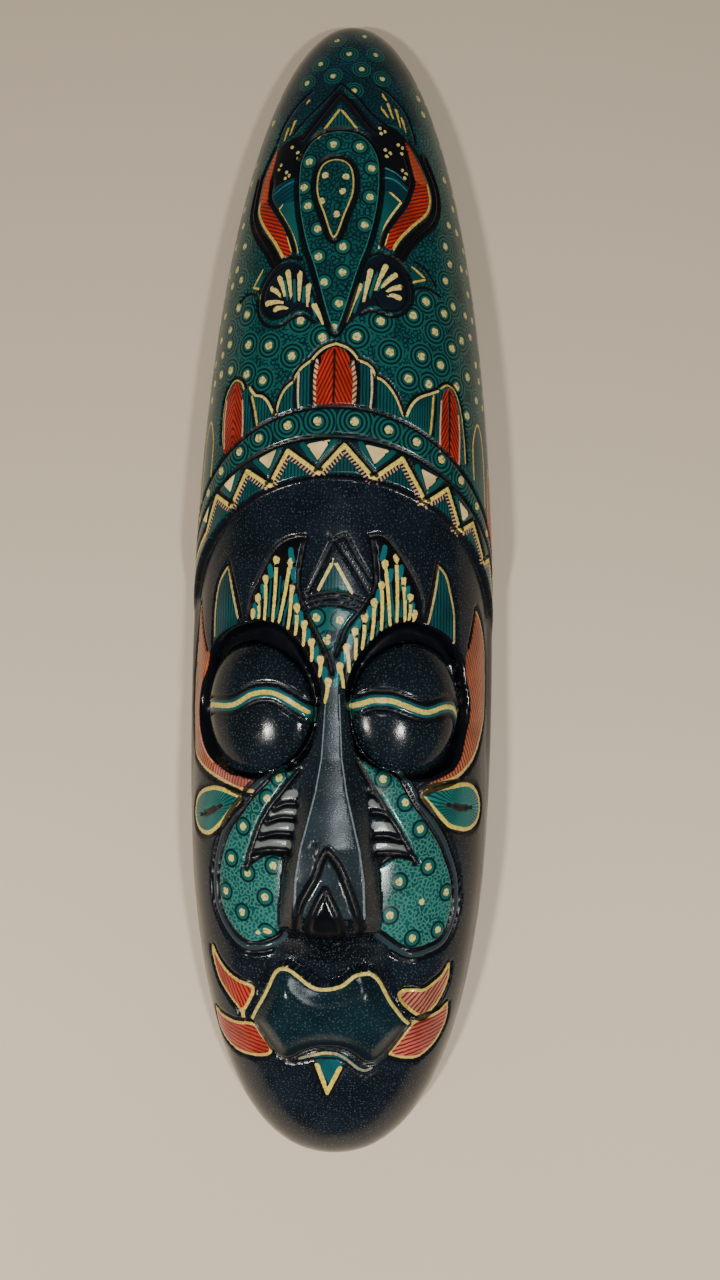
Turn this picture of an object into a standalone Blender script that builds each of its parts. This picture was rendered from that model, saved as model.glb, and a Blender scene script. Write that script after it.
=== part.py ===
"""Carved wooden mask with a long face, lying on its hollow back with the face up.

The crown points to +Y, the chin to -Y and the face to +Z. The origin is at the middle of
the flat rim. The carving is laid out on the girth of a bulging blank: each place is given
as (across, along), where across runs round the blank from its crest line.
"""
import math

import bmesh
import bpy
import numpy as np
from mathutils import Vector
from mathutils.geometry import delaunay_2d_cdt
from mathutils.kdtree import KDTree

# Blank
LENGTH = 0.500
WIDTH = 0.135
DEPTH = 0.057
WIDEST_BELOW_MIDDLE = 0.050
CROWN_POWER = 2.1
CHIN_POWER = 2.45

# Hollow in the back
RIM_WALL = 0.010
END_WALL = 0.016
FACE_WALL = 0.018

# Carving
GROOVE_WIDTH = 0.0026
GROOVE_DEPTH = 0.0014
BORDER_GAP = 0.0045
FACE_DROP = 0.0028
STEP_RUN = 0.0016
SOCKET_DEPTH = 0.0085
SOCKET_RUN = 0.0035
EYE_RISE = 0.0010
NOSE_RISE = 0.0090
LIP_RISE = 0.0048
LIP_LEDGE = 0.0010
MOUTH_RECESS = 0.0042
LIP_WALL_RUN = 0.0012

# Meshing
LINE_STEP = 0.0058
JOIN_DISTANCE = 0.0009
FILL_CLEARANCE = 0.0048
FILL_COLUMNS = 11
ROW_TURN = math.radians(4.5)

# The carving is drawn on a blank 500 long with a half girth of 97.8, and scaled with it
DRAWN_LENGTH = 500.0
DRAWN_HALF_GIRTH = 97.8
HALF_GIRTH = (WIDTH / 2 + DEPTH) / 2 * math.pi / 2
ACROSS = HALF_GIRTH / DRAWN_HALF_GIRTH
ALONG = LENGTH / DRAWN_LENGTH
CREST = -WIDEST_BELOW_MIDDLE
EYE_ACROSS = 28.5
EYE_ALONG = 27.0

for old in list(bpy.data.objects):
    bpy.data.objects.remove(old, do_unlink=True)


def end_share(y):
    """Share of the full section that is left at a place along the blank."""
    up = np.clip((y - CREST) / (LENGTH / 2 - CREST), 0, 1)
    down = np.clip((CREST - y) / (LENGTH / 2 + CREST), 0, 1)
    crown = (1 - up ** CROWN_POWER) ** (1 / CROWN_POWER)
    chin = (1 - down ** CHIN_POWER) ** (1 / CHIN_POWER)
    return np.where(y > CREST, crown, chin)


def lift(s, y, rise):
    """Point in space over girth place s, raised along the section's normal."""
    a = WIDTH / 2 * end_share(y)
    b = DEPTH * end_share(y)
    mean = np.maximum((a + b) / 2, 1e-9)
    skew = (a - b) / 4
    turn = s / mean
    for _ in range(6):
        miss = mean * turn + skew * np.sin(2 * turn) - s
        turn = turn - miss / np.maximum(mean + 2 * skew * np.cos(2 * turn), 1e-9)
    nx = np.sin(turn) / np.maximum(a, 1e-9)
    nz = np.cos(turn) / np.maximum(b, 1e-9)
    size = np.hypot(nx, nz)
    return a * np.sin(turn) + rise * nx / size, b * np.cos(turn) + rise * nz / size


def midline(y):
    """The carver's middle line drifts a little to the left of the crest."""
    return -3.0 - 0.008 * y


def both(points):
    """Mirror a line drawn as (distance from the middle line, along) to both sides."""
    left = [(midline(y) - m, y) for m, y in points]
    right = [(midline(y) + m, y) for m, y in points]
    return [curve(left), curve(right)]


def curve(points, closed=False):
    """Smooth curve through a few drawn points, in metres on the girth."""
    drawn = np.array(points, float) * (ACROSS, ALONG)
    count = len(drawn)
    spans = count if closed else count - 1
    line = []
    for k in range(spans):
        if closed:
            p = [drawn[(k + j) % count] for j in (-1, 0, 1, 2)]
        else:
            p = [drawn[min(max(k + j, 0), count - 1)] for j in (-1, 0, 1, 2)]
        pieces = max(1, round(float(np.hypot(*(p[2] - p[1]))) / LINE_STEP))
        for j in range(pieces):
            t = j / pieces
            line.append(0.5 * (2 * p[1] + (p[2] - p[0]) * t
                               + (2 * p[0] - 5 * p[1] + 4 * p[2] - p[3]) * t * t
                               + (3 * p[1] - p[0] - 3 * p[2] + p[3]) * t ** 3))
    line.append(drawn[0] if closed else drawn[-1])
    return np.array(line)


def shifted(line, gap):
    """Line beside another one, at a gap to its left."""
    along = np.gradient(line, axis=0)
    along = along / np.maximum(np.hypot(along[:, 0], along[:, 1]), 1e-9)[:, None]
    return line + gap * np.stack([-along[:, 1], along[:, 0]], axis=1)


def distance(points, lines):
    """Distance from each point to the nearest of some lines."""
    best = np.full(len(points), 1.0)
    for line in lines:
        for a, b in zip(line[:-1], line[1:]):
            ab = b - a
            t = np.clip((points - a) @ ab / max(ab @ ab, 1e-12), 0, 1)
            gap = points - a - t[:, None] * ab
            best = np.minimum(best, np.hypot(gap[:, 0], gap[:, 1]))
    return best


def inside(points, loop):
    """True for the points within a closed line."""
    found = np.zeros(len(points), bool)
    for a, b in zip(loop[:-1], loop[1:]):
        if a[1] != b[1]:
            level = (points[:, 1] > a[1]) != (points[:, 1] > b[1])
            cross = a[0] + (points[:, 1] - a[1]) * (b[0] - a[0]) / (b[1] - a[1])
            found ^= level & (points[:, 0] < cross)
    return found


def smooth(x):
    """Smooth step from 0 to 1."""
    x = np.clip(x, 0, 1)
    return x * x * (3 - 2 * x)


def brow_edge(m):
    """Lower edge of the headband, where the carving steps down to the face."""
    return 41.0 - 0.0062 * m * m


# Crown: drop with its seed, chevron and arch, wings, petals and the ring band
grooves = []
grooves += both([(0, 189), (9, 186.5), (15, 181), (18.6, 171), (18.3, 159), (15.5, 145),
                 (10.5, 128), (6, 112), (0, 97)])
grooves += both([(0, 174.5), (6.5, 171), (8.5, 163), (5.5, 151), (0, 137.5)])
grooves += both([(0, 197.5), (5, 193), (10, 189)])
grooves += both([(0, 204.5), (8, 197.5), (15, 188)])
grooves += both([(28.5, 184), (35, 173), (38.8, 160), (36, 150), (29.5, 142), (23, 133)])
grooves += both([(28.5, 184), (32.5, 168), (29.5, 154.5), (23.5, 145), (18.8, 135), (23, 133)])
grooves += both([(43.5, 168), (43.6, 157), (38, 147), (27, 131)])
grooves += both([(0, 95.5), (6, 92), (12, 87), (17.5, 82), (22, 76), (25.5, 66)])
grooves += both([(7, 91), (7.4, 69)])
grooves += both([(14.5, 84), (14.8, 67.5)])
grooves += both([(28, 65), (32, 73.5), (37, 76.5), (41.5, 76)])
grooves += both([(41.5, 76), (47, 81), (52, 77), (55, 50)])
grooves += both([(41.5, 76), (38.5, 60)])
grooves += both([(m, 68.5 - 0.0066 * m * m) for m in range(0, 73, 12)])
grooves += both([(m, 56.5 - 0.0060 * m * m) for m in range(0, 85, 12)])

# Zigzag of the headband
zigzag = []
for k in range(-7, 8):
    m = 10.4 * abs(k)
    above_edge = 12.5 - 0.05 * m if k % 2 == 0 else 2.8 + 0.02 * m
    zigzag.append((midline(30) + 1.0 + 10.4 * k, brow_edge(m) + above_edge))
for a, b in zip(zigzag[:-1], zigzag[1:]):
    grooves.append(curve([a, b]))

# Forehead: leaves, centre triangle, and a spike over each eye
grooves += both([(13, 17), (20.7, 16.5), (26, 12), (33.5, 1), (37, -6), (38, -15)])
grooves += both([(13, 17), (15.5, 8), (15.5, -2), (10, -14), (4.5, -24), (0, -36)])
grooves += both([(0, 9), (7, -4.5)])
grooves += both([(0, -4), (7, -4.5), (12.5, -8.5)])
grooves += both([(48, 5.7), (46.5, -2), (44.5, -9), (42.5, -17)])
grooves += both([(48, 5.7), (53.5, 0), (56.3, -8), (57.5, -23)])

# Flames round the eyes, and an ear petal with its slit
grooves += both([(74, -9), (80, -24), (84, -42), (83.5, -57), (78, -67), (69, -74.5),
                 (58, -79.8), (47, -83), (37, -84.5)])
grooves += both([(74, -9), (69.5, -18), (65, -28)])
grooves += both([(42.5, -88), (51, -85), (62, -85), (71, -89.5), (74.4, -96), (71.5, -101.8),
                 (63, -103.6), (55, -101), (48, -95), (42.5, -88)])
grooves += both([(50.5, -91.3), (67, -95.8)])

# Cheek panel with its doubled border, its inner edge and the rungs beside the nose
cheeks = both([(24.5, -77.5), (32, -86.5), (39.5, -95.5), (45, -103.5), (50.5, -114),
               (53, -125), (51.8, -134), (46.5, -142), (38, -146.7), (30, -146.5), (21, -140)])
grooves += cheeks
grooves.append(shifted(cheeks[0], BORDER_GAP * -1))
grooves.append(shifted(cheeks[1], BORDER_GAP))
grooves += both([(15, -75.5), (20, -82.5), (25, -90), (30, -98), (34, -106), (36.3, -113)])
grooves += both([(20.5, -111.5), (26, -109.7), (32, -111), (36.3, -113)])
for k in range(4):
    y = -89.0 - 6.2 * k
    grooves += both([(15.5 + 0.9 * k, y), (24.6 + 3.2 * k, y - 0.8)])

# Chevrons on the nose
for top, foot, width in ((-105.0, -130.0, 11.5), (-119.0, -136.0, 7.0)):
    grooves += both([(0, top), (width, foot)])

# Flames at the mouth, the line under the lip and the mark on the chin
grooves += both([(56, -156.5), (51.5, -160.2), (45.5, -163.8), (39, -165.3), (32.5, -166.5)])
grooves += both([(32.5, -166.5), (34, -171.5), (38.5, -177.5)])
grooves += both([(38.5, -177.5), (44, -175), (50, -170.5), (54.5, -163.5), (56, -156.5)])
grooves += both([(57.5, -179.5), (50, -181.5), (42, -181.3), (35.5, -181.5)])
grooves += both([(35.5, -181.5), (31, -187), (25.5, -192.5)])
grooves += both([(25.5, -192.5), (33, -196), (42, -196.5), (50, -193.5), (55.5, -188),
                 (57.5, -179.5)])
grooves += both([(0, -189.8), (5, -190.8), (9.5, -193.7), (14, -197), (19, -197)])
grooves += both([(4.8, -196.5), (0, -208)])

# Wavy lid line across each eye, cut on both sides of a raised bead
lids = [curve([(-63.5, -52.3), (-50.5, -51.3), (-40.3, -48.4), (-31.5, -45), (-22.7, -46.9),
               (-14.2, -51.9)]),
        curve([(5.8, -49.6), (13.2, -47.3), (20.9, -47.3), (28.2, -49.8), (35.3, -51.9),
               (42.9, -50.3), (51.2, -50.8), (56, -56)])]
for lid in lids:
    grooves.append(shifted(lid, 0.0037))
    grooves.append(shifted(lid, -0.0034))

# Eye sockets and eyes
SOCKET = [(32.5, -15.5), (23, -17.7), (15.5, -23.5), (9.5, -32), (5.2, -43), (4.8, -55),
          (6.3, -65), (12, -71.5), (18, -74.6), (27, -78.3), (37, -80.5), (46, -79.5),
          (54, -77), (60, -73), (64.5, -68), (69, -62), (71, -55), (70.5, -48), (66, -40),
          (63, -32), (59.5, -26), (52, -21), (43, -17.3)]
sockets = []
eye_centres = []
for side in (-1, 1):
    sockets.append(curve([(midline(y) + side * m, y) for m, y in SOCKET], closed=True))
    eye_centres.append(((midline(-51) + side * 36.5) * ACROSS, -51 * ALONG))


def eye_loop(centre, share):
    """Ring on an eye at a share of its half sizes."""
    points = []
    for k in range(33):
        turn = 2 * math.pi * k / 32
        points.append((centre[0] + share * EYE_ACROSS * ACROSS * math.cos(turn),
                       centre[1] + share * EYE_ALONG * ALONG * math.sin(turn)))
    return np.array(points)


# Nose: half widths of its flat front and of its foot, and its height, along the face
NOSE_Y = (-150, -138, -131, -116, -104, -96, -83, -70, -45, -20)
NOSE_FRONT = (13.5, 13, 12.4, 11.8, 10.3, 8.6, 5.8, 3.9, 2.6, 2.4)
NOSE_FOOT = (22, 20.8, 20.4, 19.3, 17.2, 15.6, 12.8, 9.5, 5.0, 3.0)
NOSE_SHARE = (-0.5, 0.1, 0.85, 1.0, 0.88, 0.68, 0.38, 0.12, -0.12, -0.31)


def nose_at(y, values):
    """Value of a nose profile along the face."""
    return np.interp(y, np.array(NOSE_Y) * ALONG, values)


# Mouth: upper and lower outline of the lips
LIP_TOP = [(34, -178.4), (29.5, -172.5), (26, -167), (22.5, -160), (19, -155.2), (14.5, -154.5),
           (10, -156.8), (5.5, -160), (0, -161.3)]
LIP_FOOT = [(34, -178.6), (29, -185), (24, -190), (19, -193.5), (15, -193), (10, -189.8),
            (5, -187.2), (0, -186.5)]


def across_face(half):
    """Join a half line and its mirror image at the middle line."""
    left, right = both(half)
    return np.vstack([left, right[::-1][1:]])


lip_top = across_face(LIP_TOP)
lip_foot = across_face(LIP_FOOT)
lip_loop = np.vstack([lip_top, lip_foot[::-1][1:], lip_top[:1]])


def relief(points):
    """Height of the carving over the blank at points on the girth."""
    s = points[:, 0]
    y = points[:, 1]
    mid = midline(y / ALONG) * ACROSS
    m = np.abs(s - mid)
    edge = brow_edge(m / ACROSS) * ALONG
    fade = smooth((y / ALONG + 135) / 100) * smooth((HALF_GIRTH - np.abs(s)) / (14 * ACROSS))
    h = -FACE_DROP * smooth((edge - y) / STEP_RUN + 0.5) * fade
    base = h.copy()
    for socket, (cx, cy) in zip(sockets, eye_centres):
        within = inside(points, socket)
        depth_in = distance(points, [socket])
        down = np.where(within, smooth(depth_in / SOCKET_RUN), 0)
        h = h * (1 - down) - SOCKET_DEPTH * down
        radius = np.hypot((s - cx) / (EYE_ACROSS * ACROSS), (y - cy) / (EYE_ALONG * ALONG))
        dome = -SOCKET_DEPTH + (SOCKET_DEPTH + EYE_RISE) * np.sqrt(np.clip(1 - radius ** 2, 0, 1))
        h = np.where(radius < 1, np.maximum(h, dome), h)
    front = nose_at(y, NOSE_FRONT) * ACROSS
    foot = nose_at(y, NOSE_FOOT) * ACROSS
    top = nose_at(y, NOSE_SHARE) * NOSE_RISE
    slope = np.clip((foot - m) / (foot - front), 0, 1)
    on_nose = (m < foot) & (y < -20 * ALONG) & (y > -150 * ALONG)
    h = np.where(on_nose, np.maximum(h, np.minimum(h, base) * (1 - slope) + top * slope), h)
    to_lips = distance(points, [lip_loop])
    in_lips = inside(points, lip_loop) | (to_lips < LIP_WALL_RUN / 4)
    to_top = distance(points, [lip_top]) / ALONG
    bowl = smooth((17 - to_top) / 6) * smooth((36 - m / ACROSS) / 10)
    above = (~in_lips) & (y > -180 * ALONG) & (y < -131 * ALONG)
    h = np.where(above, np.minimum(h, h * (1 - bowl) - MOUTH_RECESS * bowl), h)
    swell = LIP_LEDGE + (LIP_RISE - LIP_LEDGE) * smooth(to_lips / (10 * ALONG))
    h = np.where(in_lips, swell, h)
    return h - GROOVE_DEPTH * np.clip(1 - distance(points, grooves) / (GROOVE_WIDTH / 2), 0, 1)


# Lines that the mesh follows: both sides and the bottom of every groove, and each edge
lines = []
for groove in grooves:
    lines += [groove, shifted(groove, GROOVE_WIDTH / 2), shifted(groove, -GROOVE_WIDTH / 2)]
for shift in (-0.5, 0.5):
    step = [(m, brow_edge(m) + shift * STEP_RUN / ALONG) for m in range(0, 89, 11)]
    lines += both(step)
for socket, centre in zip(sockets, eye_centres):
    lines += [socket, shifted(socket, SOCKET_RUN), eye_loop(centre, 0.97)]
    lines += [eye_loop(centre, 0.8), eye_loop(centre, 0.5)]
nose_rows = [y for y in NOSE_Y if y < -40]
lines += both([(nose_at(y * ALONG, NOSE_FRONT), y) for y in nose_rows])
lines += both([(nose_at(y * ALONG, NOSE_FOOT), y) for y in nose_rows])
lines += both([(0, -131), (12.4, -131)])
lines += both([(0, -149.8), (22, -149.8)])
lines += [lip_top, shifted(lip_top, LIP_WALL_RUN), lip_foot]
lip_middle = np.array([midline(-174) * ACROSS, -174 * ALONG])
for share in (0.25, 0.55):
    lines.append(lip_loop * (1 - share) + lip_middle * share)

# Places of all vertices on the girth, each kept apart from the others
places = []
cells = {}


def place(s, y):
    """Index of a vertex at this place, sharing one that is already very near."""
    ci = math.floor(s / JOIN_DISTANCE)
    cj = math.floor(y / JOIN_DISTANCE)
    for i in (ci - 1, ci, ci + 1):
        for j in (cj - 1, cj, cj + 1):
            for k in cells.get((i, j), ()):
                if math.hypot(places[k][0] - s, places[k][1] - y) < JOIN_DISTANCE:
                    return k
    places.append((s, y))
    cells.setdefault((ci, cj), []).append(len(places) - 1)
    return len(places) - 1


# Rows along the blank, closer together towards both ends
quarter = round(math.pi / 2 / ROW_TURN)
crown_rows = [CREST + (LENGTH / 2 - CREST) * math.sin(k * ROW_TURN) for k in range(quarter)]
chin_rows = [CREST - (LENGTH / 2 + CREST) * math.sin(k * ROW_TURN) for k in range(1, quarter)]
rows = sorted(crown_rows + chin_rows)


def half_girth(y):
    """Distance round the blank from its crest to the rim."""
    return HALF_GIRTH * float(end_share(np.array(y)))


rim_y = []
for low, high in zip([-LENGTH / 2] + rows, rows + [LENGTH / 2]):
    rim_y += [low, (low + high) / 2]
rim_y = rim_y[1:]
rim = [place(0.0, -LENGTH / 2)]
rim += [place(half_girth(y), y) for y in rim_y]
rim.append(place(0.0, LENGTH / 2))
rim += [place(-half_girth(y), y) for y in reversed(rim_y)]
rim_count = len(places)

creases = []
for line in lines:
    keys = [place(float(s), float(y)) for s, y in line]
    creases += [(a, b) for a, b in zip(keys[:-1], keys[1:]) if a != b]

taken = KDTree(len(places))
for k, (s, y) in enumerate(places):
    taken.insert((s, y, 0), k)
taken.balance()
for y in rows:
    for k in range(-FILL_COLUMNS, FILL_COLUMNS + 1):
        s = half_girth(y) * math.sin(k / (FILL_COLUMNS + 1) * math.pi / 2)
        if taken.find((s, y, 0))[2] > FILL_CLEARANCE:
            place(s, y)

flat = [Vector(p) for p in places]
rim_edges = [(a, b) for a, b in zip(rim, rim[1:] + rim[:1])]
made = delaunay_2d_cdt(flat, rim_edges + creases, [], 0, 1e-6)
sheet = np.array([tuple(v) for v in made[0]])
heights = relief(sheet)
rim_share = end_share(sheet[:, 1]) * HALF_GIRTH - np.abs(sheet[:, 0])
on_rim = rim_share < 1e-6
xs, zs = lift(sheet[:, 0], sheet[:, 1], np.where(on_rim, 0.0, heights))

mask_mesh = bpy.data.meshes.new("mask")
bm = bmesh.new()
verts = []
for x, y, z, edge in zip(xs, sheet[:, 1], zs, on_rim):
    verts.append(bm.verts.new((float(x), float(y), 0.0 if edge else max(float(z), 0.0))))
for tri in made[2]:
    bm.faces.new([verts[k] for k in tri])
bmesh.ops.remove_doubles(bm, verts=bm.verts[:], dist=0.00005)
bmesh.ops.dissolve_degenerate(bm, edges=bm.edges[:], dist=0.00001)
open_edges = [e for e in bm.edges if e.is_boundary]
bmesh.ops.contextual_create(bm, geom=open_edges)
bmesh.ops.recalc_face_normals(bm, faces=bm.faces[:])
bm.to_mesh(mask_mesh)
bm.free()
mask = bpy.data.objects.new("mask", mask_mesh)

# Hollow: a smaller bulging form that opens through the flat back
hollow_mesh = bpy.data.meshes.new("hollow_cutter")
bm = bmesh.new()
RINGS = 18
SPOKES = 14
reach = LENGTH / 2 - END_WALL
rings = []
for k in [0.3] + list(range(1, RINGS)) + [RINGS - 0.3]:
    y = -reach * math.cos(math.pi * k / RINGS)
    share = float(end_share(np.array(y * (LENGTH / 2) / reach)))
    ring = []
    for j in range(SPOKES + 1):
        turn = math.pi * (j / SPOKES - 0.5)
        x = (WIDTH / 2 - RIM_WALL) * share * math.sin(turn)
        z = (DEPTH - FACE_WALL) * share * math.cos(turn)
        ring.append(bm.verts.new((x, y, z)))
    ring[0].co.z = 0.0
    ring[-1].co.z = 0.0
    ring.insert(0, bm.verts.new((ring[0].co.x, y, -0.01)))
    ring.append(bm.verts.new((ring[-1].co.x, y, -0.01)))
    rings.append(ring)
for low, high in zip(rings[:-1], rings[1:]):
    for j in range(len(low)):
        n = (j + 1) % len(low)
        bm.faces.new((low[j], low[n], high[n], high[j]))
bm.faces.new(rings[0])
bm.faces.new(rings[-1])
bmesh.ops.recalc_face_normals(bm, faces=bm.faces[:])
bm.to_mesh(hollow_mesh)
bm.free()
hollow = bpy.data.objects.new("hollow_cutter", hollow_mesh)
hollow.hide_render = True
hollow.display_type = "WIRE"

parts = bpy.data.collections.new("Mask")
cutters = bpy.data.collections.new("Cutters")
bpy.context.scene.collection.children.link(parts)
bpy.context.scene.collection.children.link(cutters)
parts.objects.link(mask)
cutters.objects.link(hollow)

cut = mask.modifiers.new("Hollow", "BOOLEAN")
cut.operation = "DIFFERENCE"
cut.solver = "EXACT"
cut.object = hollow

# Wood under dark glossy paint
paint = bpy.data.materials.new("Painted_wood")
paint.use_nodes = True
shader = paint.node_tree.nodes["Principled BSDF"]
shader.inputs["Base Color"].default_value = (0.020, 0.035, 0.045, 1.0)
shader.inputs["Roughness"].default_value = 0.35
shader.inputs["Metallic"].default_value = 0.0
mask.data.materials.append(paint)
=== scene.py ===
"""Carved and painted wooden mask with a long face, lying on its hollow back, face up."""
import math

import bmesh
import bpy
import numpy as np
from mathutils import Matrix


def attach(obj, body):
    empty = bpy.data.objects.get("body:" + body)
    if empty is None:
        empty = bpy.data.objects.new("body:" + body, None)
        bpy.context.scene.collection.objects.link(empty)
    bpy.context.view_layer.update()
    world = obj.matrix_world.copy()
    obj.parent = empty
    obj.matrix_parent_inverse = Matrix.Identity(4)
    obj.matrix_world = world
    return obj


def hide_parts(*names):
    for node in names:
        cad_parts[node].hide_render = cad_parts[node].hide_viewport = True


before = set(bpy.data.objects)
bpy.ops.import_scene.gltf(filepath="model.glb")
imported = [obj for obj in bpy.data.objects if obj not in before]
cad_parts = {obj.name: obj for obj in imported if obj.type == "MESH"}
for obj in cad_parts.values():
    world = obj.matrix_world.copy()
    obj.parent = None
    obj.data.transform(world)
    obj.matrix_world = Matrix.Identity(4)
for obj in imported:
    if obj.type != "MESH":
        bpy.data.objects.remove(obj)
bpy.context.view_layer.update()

# Wooden blank: one long piece of light wood, sawn flat at the back and rounded to a bulging
# form. All of the carving and painting is laid out on its girth, in millimetres: s runs
# round the blank from the crest, to the right in the photo, and y from chin to crown.
LENGTH = 0.500
WIDTH = 0.135
DEPTH = 0.057
CREST = -50.0
CROWN_POWER = 2.1
CHIN_POWER = 2.45
GIRTH = 97.8
HALF_LENGTH = 250.0
ACROSS = (WIDTH / 2 + DEPTH) / 2 * math.pi / 2 / GIRTH
ALONG = LENGTH / 2 / HALF_LENGTH


def end_share(y):
    """Share of the full section that is left at a place along the blank."""
    up = np.clip((y - CREST) / (HALF_LENGTH - CREST), 0, 1)
    down = np.clip((CREST - y) / (HALF_LENGTH + CREST), 0, 1)
    crown = (1 - up ** CROWN_POWER) ** (1 / CROWN_POWER)
    chin = (1 - down ** CHIN_POWER) ** (1 / CHIN_POWER)
    return np.where(y > CREST, crown, chin)


def over_blank(s, y, rise):
    """Place in space of girth place (s, y), raised by rise along the section's normal."""
    a = WIDTH / 2 * end_share(y)
    b = DEPTH * end_share(y)
    mean = np.maximum((a + b) / 2, 1e-9)
    skew = (a - b) / 4
    turn = s * ACROSS / mean
    for _ in range(6):
        miss = mean * turn + skew * np.sin(2 * turn) - s * ACROSS
        turn = turn - miss / np.maximum(mean + 2 * skew * np.cos(2 * turn), 1e-9)
    nx = np.sin(turn) / np.maximum(a, 1e-9)
    nz = np.cos(turn) / np.maximum(b, 1e-9)
    size = np.hypot(nx, nz)
    return a * np.sin(turn) + rise * nx / size, y * ALONG, b * np.cos(turn) + rise * nz / size


def smooth(x):
    """Smooth step from 0 to 1."""
    x = np.clip(x, 0, 1)
    return x * x * (3 - 2 * x)


def midline(y):
    """The carver's middle line drifts a little to the left of the crest."""
    return -3.0 - 0.008 * y


def brow_edge(m):
    """Lower edge of the headband, where the carving steps down to the face."""
    return 41.0 - 0.0062 * m * m


# Crown: batik ornament cut as fine grooves with a V tool, then filled with a brush. A drop
# with a seed in the middle, a wing at each side, fans of brushed strokes, and ringed dots
# on a teal ground with dark curls.
NAVY = (0.0034, 0.0062, 0.0110)
BLACK = (0.0016, 0.0022, 0.0038)
TEAL = (0.0020, 0.0640, 0.0620)
TEAL_DARK = (0.0016, 0.0120, 0.0180)
BLUE_TEAL = (0.0020, 0.0340, 0.0480)
GOLD = (0.5200, 0.3600, 0.0650)
CREAM = (0.6200, 0.4900, 0.1500)
RED = (0.3400, 0.0220, 0.0110)
ORANGE = (0.3400, 0.0800, 0.0250)
DARK_RED = (0.0700, 0.0040, 0.0030)

PLAIN = 0.0
STIPPLE = 1.0
CURLS = -1.0
LIGHT_CURLS = -2.0

grooves = []
bands = []
strokes = []
areas = []
dots = []


def curve(points, closed=False, step=1.3):
    """Smooth curve through a few places on the girth."""
    drawn = np.array(points, float)
    count = len(drawn)
    line = []
    for k in range(count if closed else count - 1):
        if closed:
            p = [drawn[(k + j) % count] for j in (-1, 0, 1, 2)]
        else:
            p = [drawn[min(max(k + j, 0), count - 1)] for j in (-1, 0, 1, 2)]
        pieces = max(1, round(float(np.hypot(*(p[2] - p[1]))) / step))
        for t in np.arange(pieces) / pieces:
            line.append(0.5 * (2 * p[1] + (p[2] - p[0]) * t
                               + (2 * p[0] - 5 * p[1] + 4 * p[2] - p[3]) * t * t
                               + (3 * p[1] - p[0] - 3 * p[2] + p[3]) * t ** 3))
    line.append(drawn[0] if closed else drawn[-1])
    return np.array(line)


def beside(line, gap):
    """Line beside another one, at a gap to its left."""
    along = np.gradient(line, axis=0)
    along = along / np.maximum(np.hypot(along[:, 0], along[:, 1]), 1e-9)[:, None]
    return line + gap * np.stack([-along[:, 1], along[:, 0]], axis=1)


def drawn_line(points, closed, straight, gap):
    """Line as it is drawn, curved or straight, and moved to its left by a gap."""
    line = np.array(points, float) if straight else curve(points, closed)
    return beside(line, gap) if gap else line


def groove(points, width=2.2, depth=1.3, closed=False, gap=0.0, straight=False):
    """Cut a groove along a line, with dark paint in it."""
    grooves.append((drawn_line(points, closed, straight, gap), width / 2, depth))


def stroke(points, colour=GOLD, width=1.5, tail=None, closed=False, straight=False, gap=0.0):
    """Brush a line, from its head's width to its tail's."""
    line = drawn_line(points, closed, straight, gap)
    strokes.append((line, width / 2, (width if tail is None else tail) / 2, colour))


def band(points, colour, width, straight=False, gap=0.0):
    """Brush a wide band, which later strokes cover."""
    line = drawn_line(points, False, straight, gap)
    bands.append((line, width / 2, width / 2, colour))


def area(points, colour, grain=PLAIN, hatch=None, ink=BLACK, straight=False):
    """Fill a closed outline with a colour, with brushed hatch lines over it."""
    loop = np.array(list(points) + [points[0]], float) if straight else curve(points, True)
    areas.append((loop, colour, grain, hatch, ink))


def lines_at(angle, pitch):
    """Hatch of straight lines that run at an angle from the s direction."""
    c, t = math.cos(math.radians(angle)), math.sin(math.radians(angle))
    return lambda s, y: (y * c - s * t) / pitch


def feathered(middle, slope, pitch):
    """Hatch that slants down from a middle line to both sides."""
    return lambda s, y: (y + slope * np.abs(s - middle)) / pitch


def rays(centre, count):
    """Hatch of lines that spread from a centre."""
    return lambda s, y: np.arctan2(y - centre[1], s - centre[0]) / (2 * math.pi) * count


def around(middle, halves):
    """Outline with the same half widths, given as (y, half width), on both sides."""
    right = [(middle + half, y) for y, half in halves]
    left = [(middle - half, y) for y, half in halves if half > 0]
    return right + left[::-1]


def sprinkle(places, radius=1.75, rings=2.0):
    """Set brushed dots, with the number of the ring style round each."""
    for s, y in places:
        dots.append((s, y, radius, rings))


# Crown ground, above the headband
area([(s, brow_edge(s + 3) + 27) for s in range(-104, 105, 13)] + [(104, 260), (-104, 260)],
     TEAL, CURLS, straight=True)
area([(-60, 212), (-20, 190), (20, 192), (60, 212), (60, 260), (-60, 260)], BLUE_TEAL, CURLS)

# Dark ground beside the drop, with the brushed blue patches under it
PATCH_DARK = (0.0014, 0.0200, 0.0300)
area([(9, 187), (15, 191), (24, 186), (27, 178), (29, 168), (27.5, 161), (18, 157), (12, 160),
      (12.5, 172), (9, 181)], BLACK)
area([(-17, 185), (-24, 186), (-33, 182), (-37, 169), (-37.5, 160), (-32, 155), (-21, 157),
      (-21.5, 168), (-19, 179)], BLACK)
area([(13, 168), (18, 168.5), (24, 164), (27.5, 162), (24.5, 156), (18, 157), (12.5, 156)],
     BLUE_TEAL, hatch=lines_at(-25, 1.9), ink=PATCH_DARK)
area([(-21.5, 166), (-28, 166), (-36, 163), (-35, 156), (-29, 152), (-20.5, 153)],
     BLUE_TEAL, hatch=lines_at(25, 1.9), ink=PATCH_DARK)
PATCH_LIGHT = (0.03, 0.20, 0.19)
for line, colour in (([(14, 170.5), (19, 169), (23.5, 166)], PATCH_LIGHT),
                     ([(14, 166), (19, 165.5), (25, 161.5)], PATCH_LIGHT),
                     ([(-22.5, 165.5), (-28, 164), (-34, 161)], (0.02, 0.13, 0.18))):
    stroke(line, colour, 0.9, 0.3)

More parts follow.
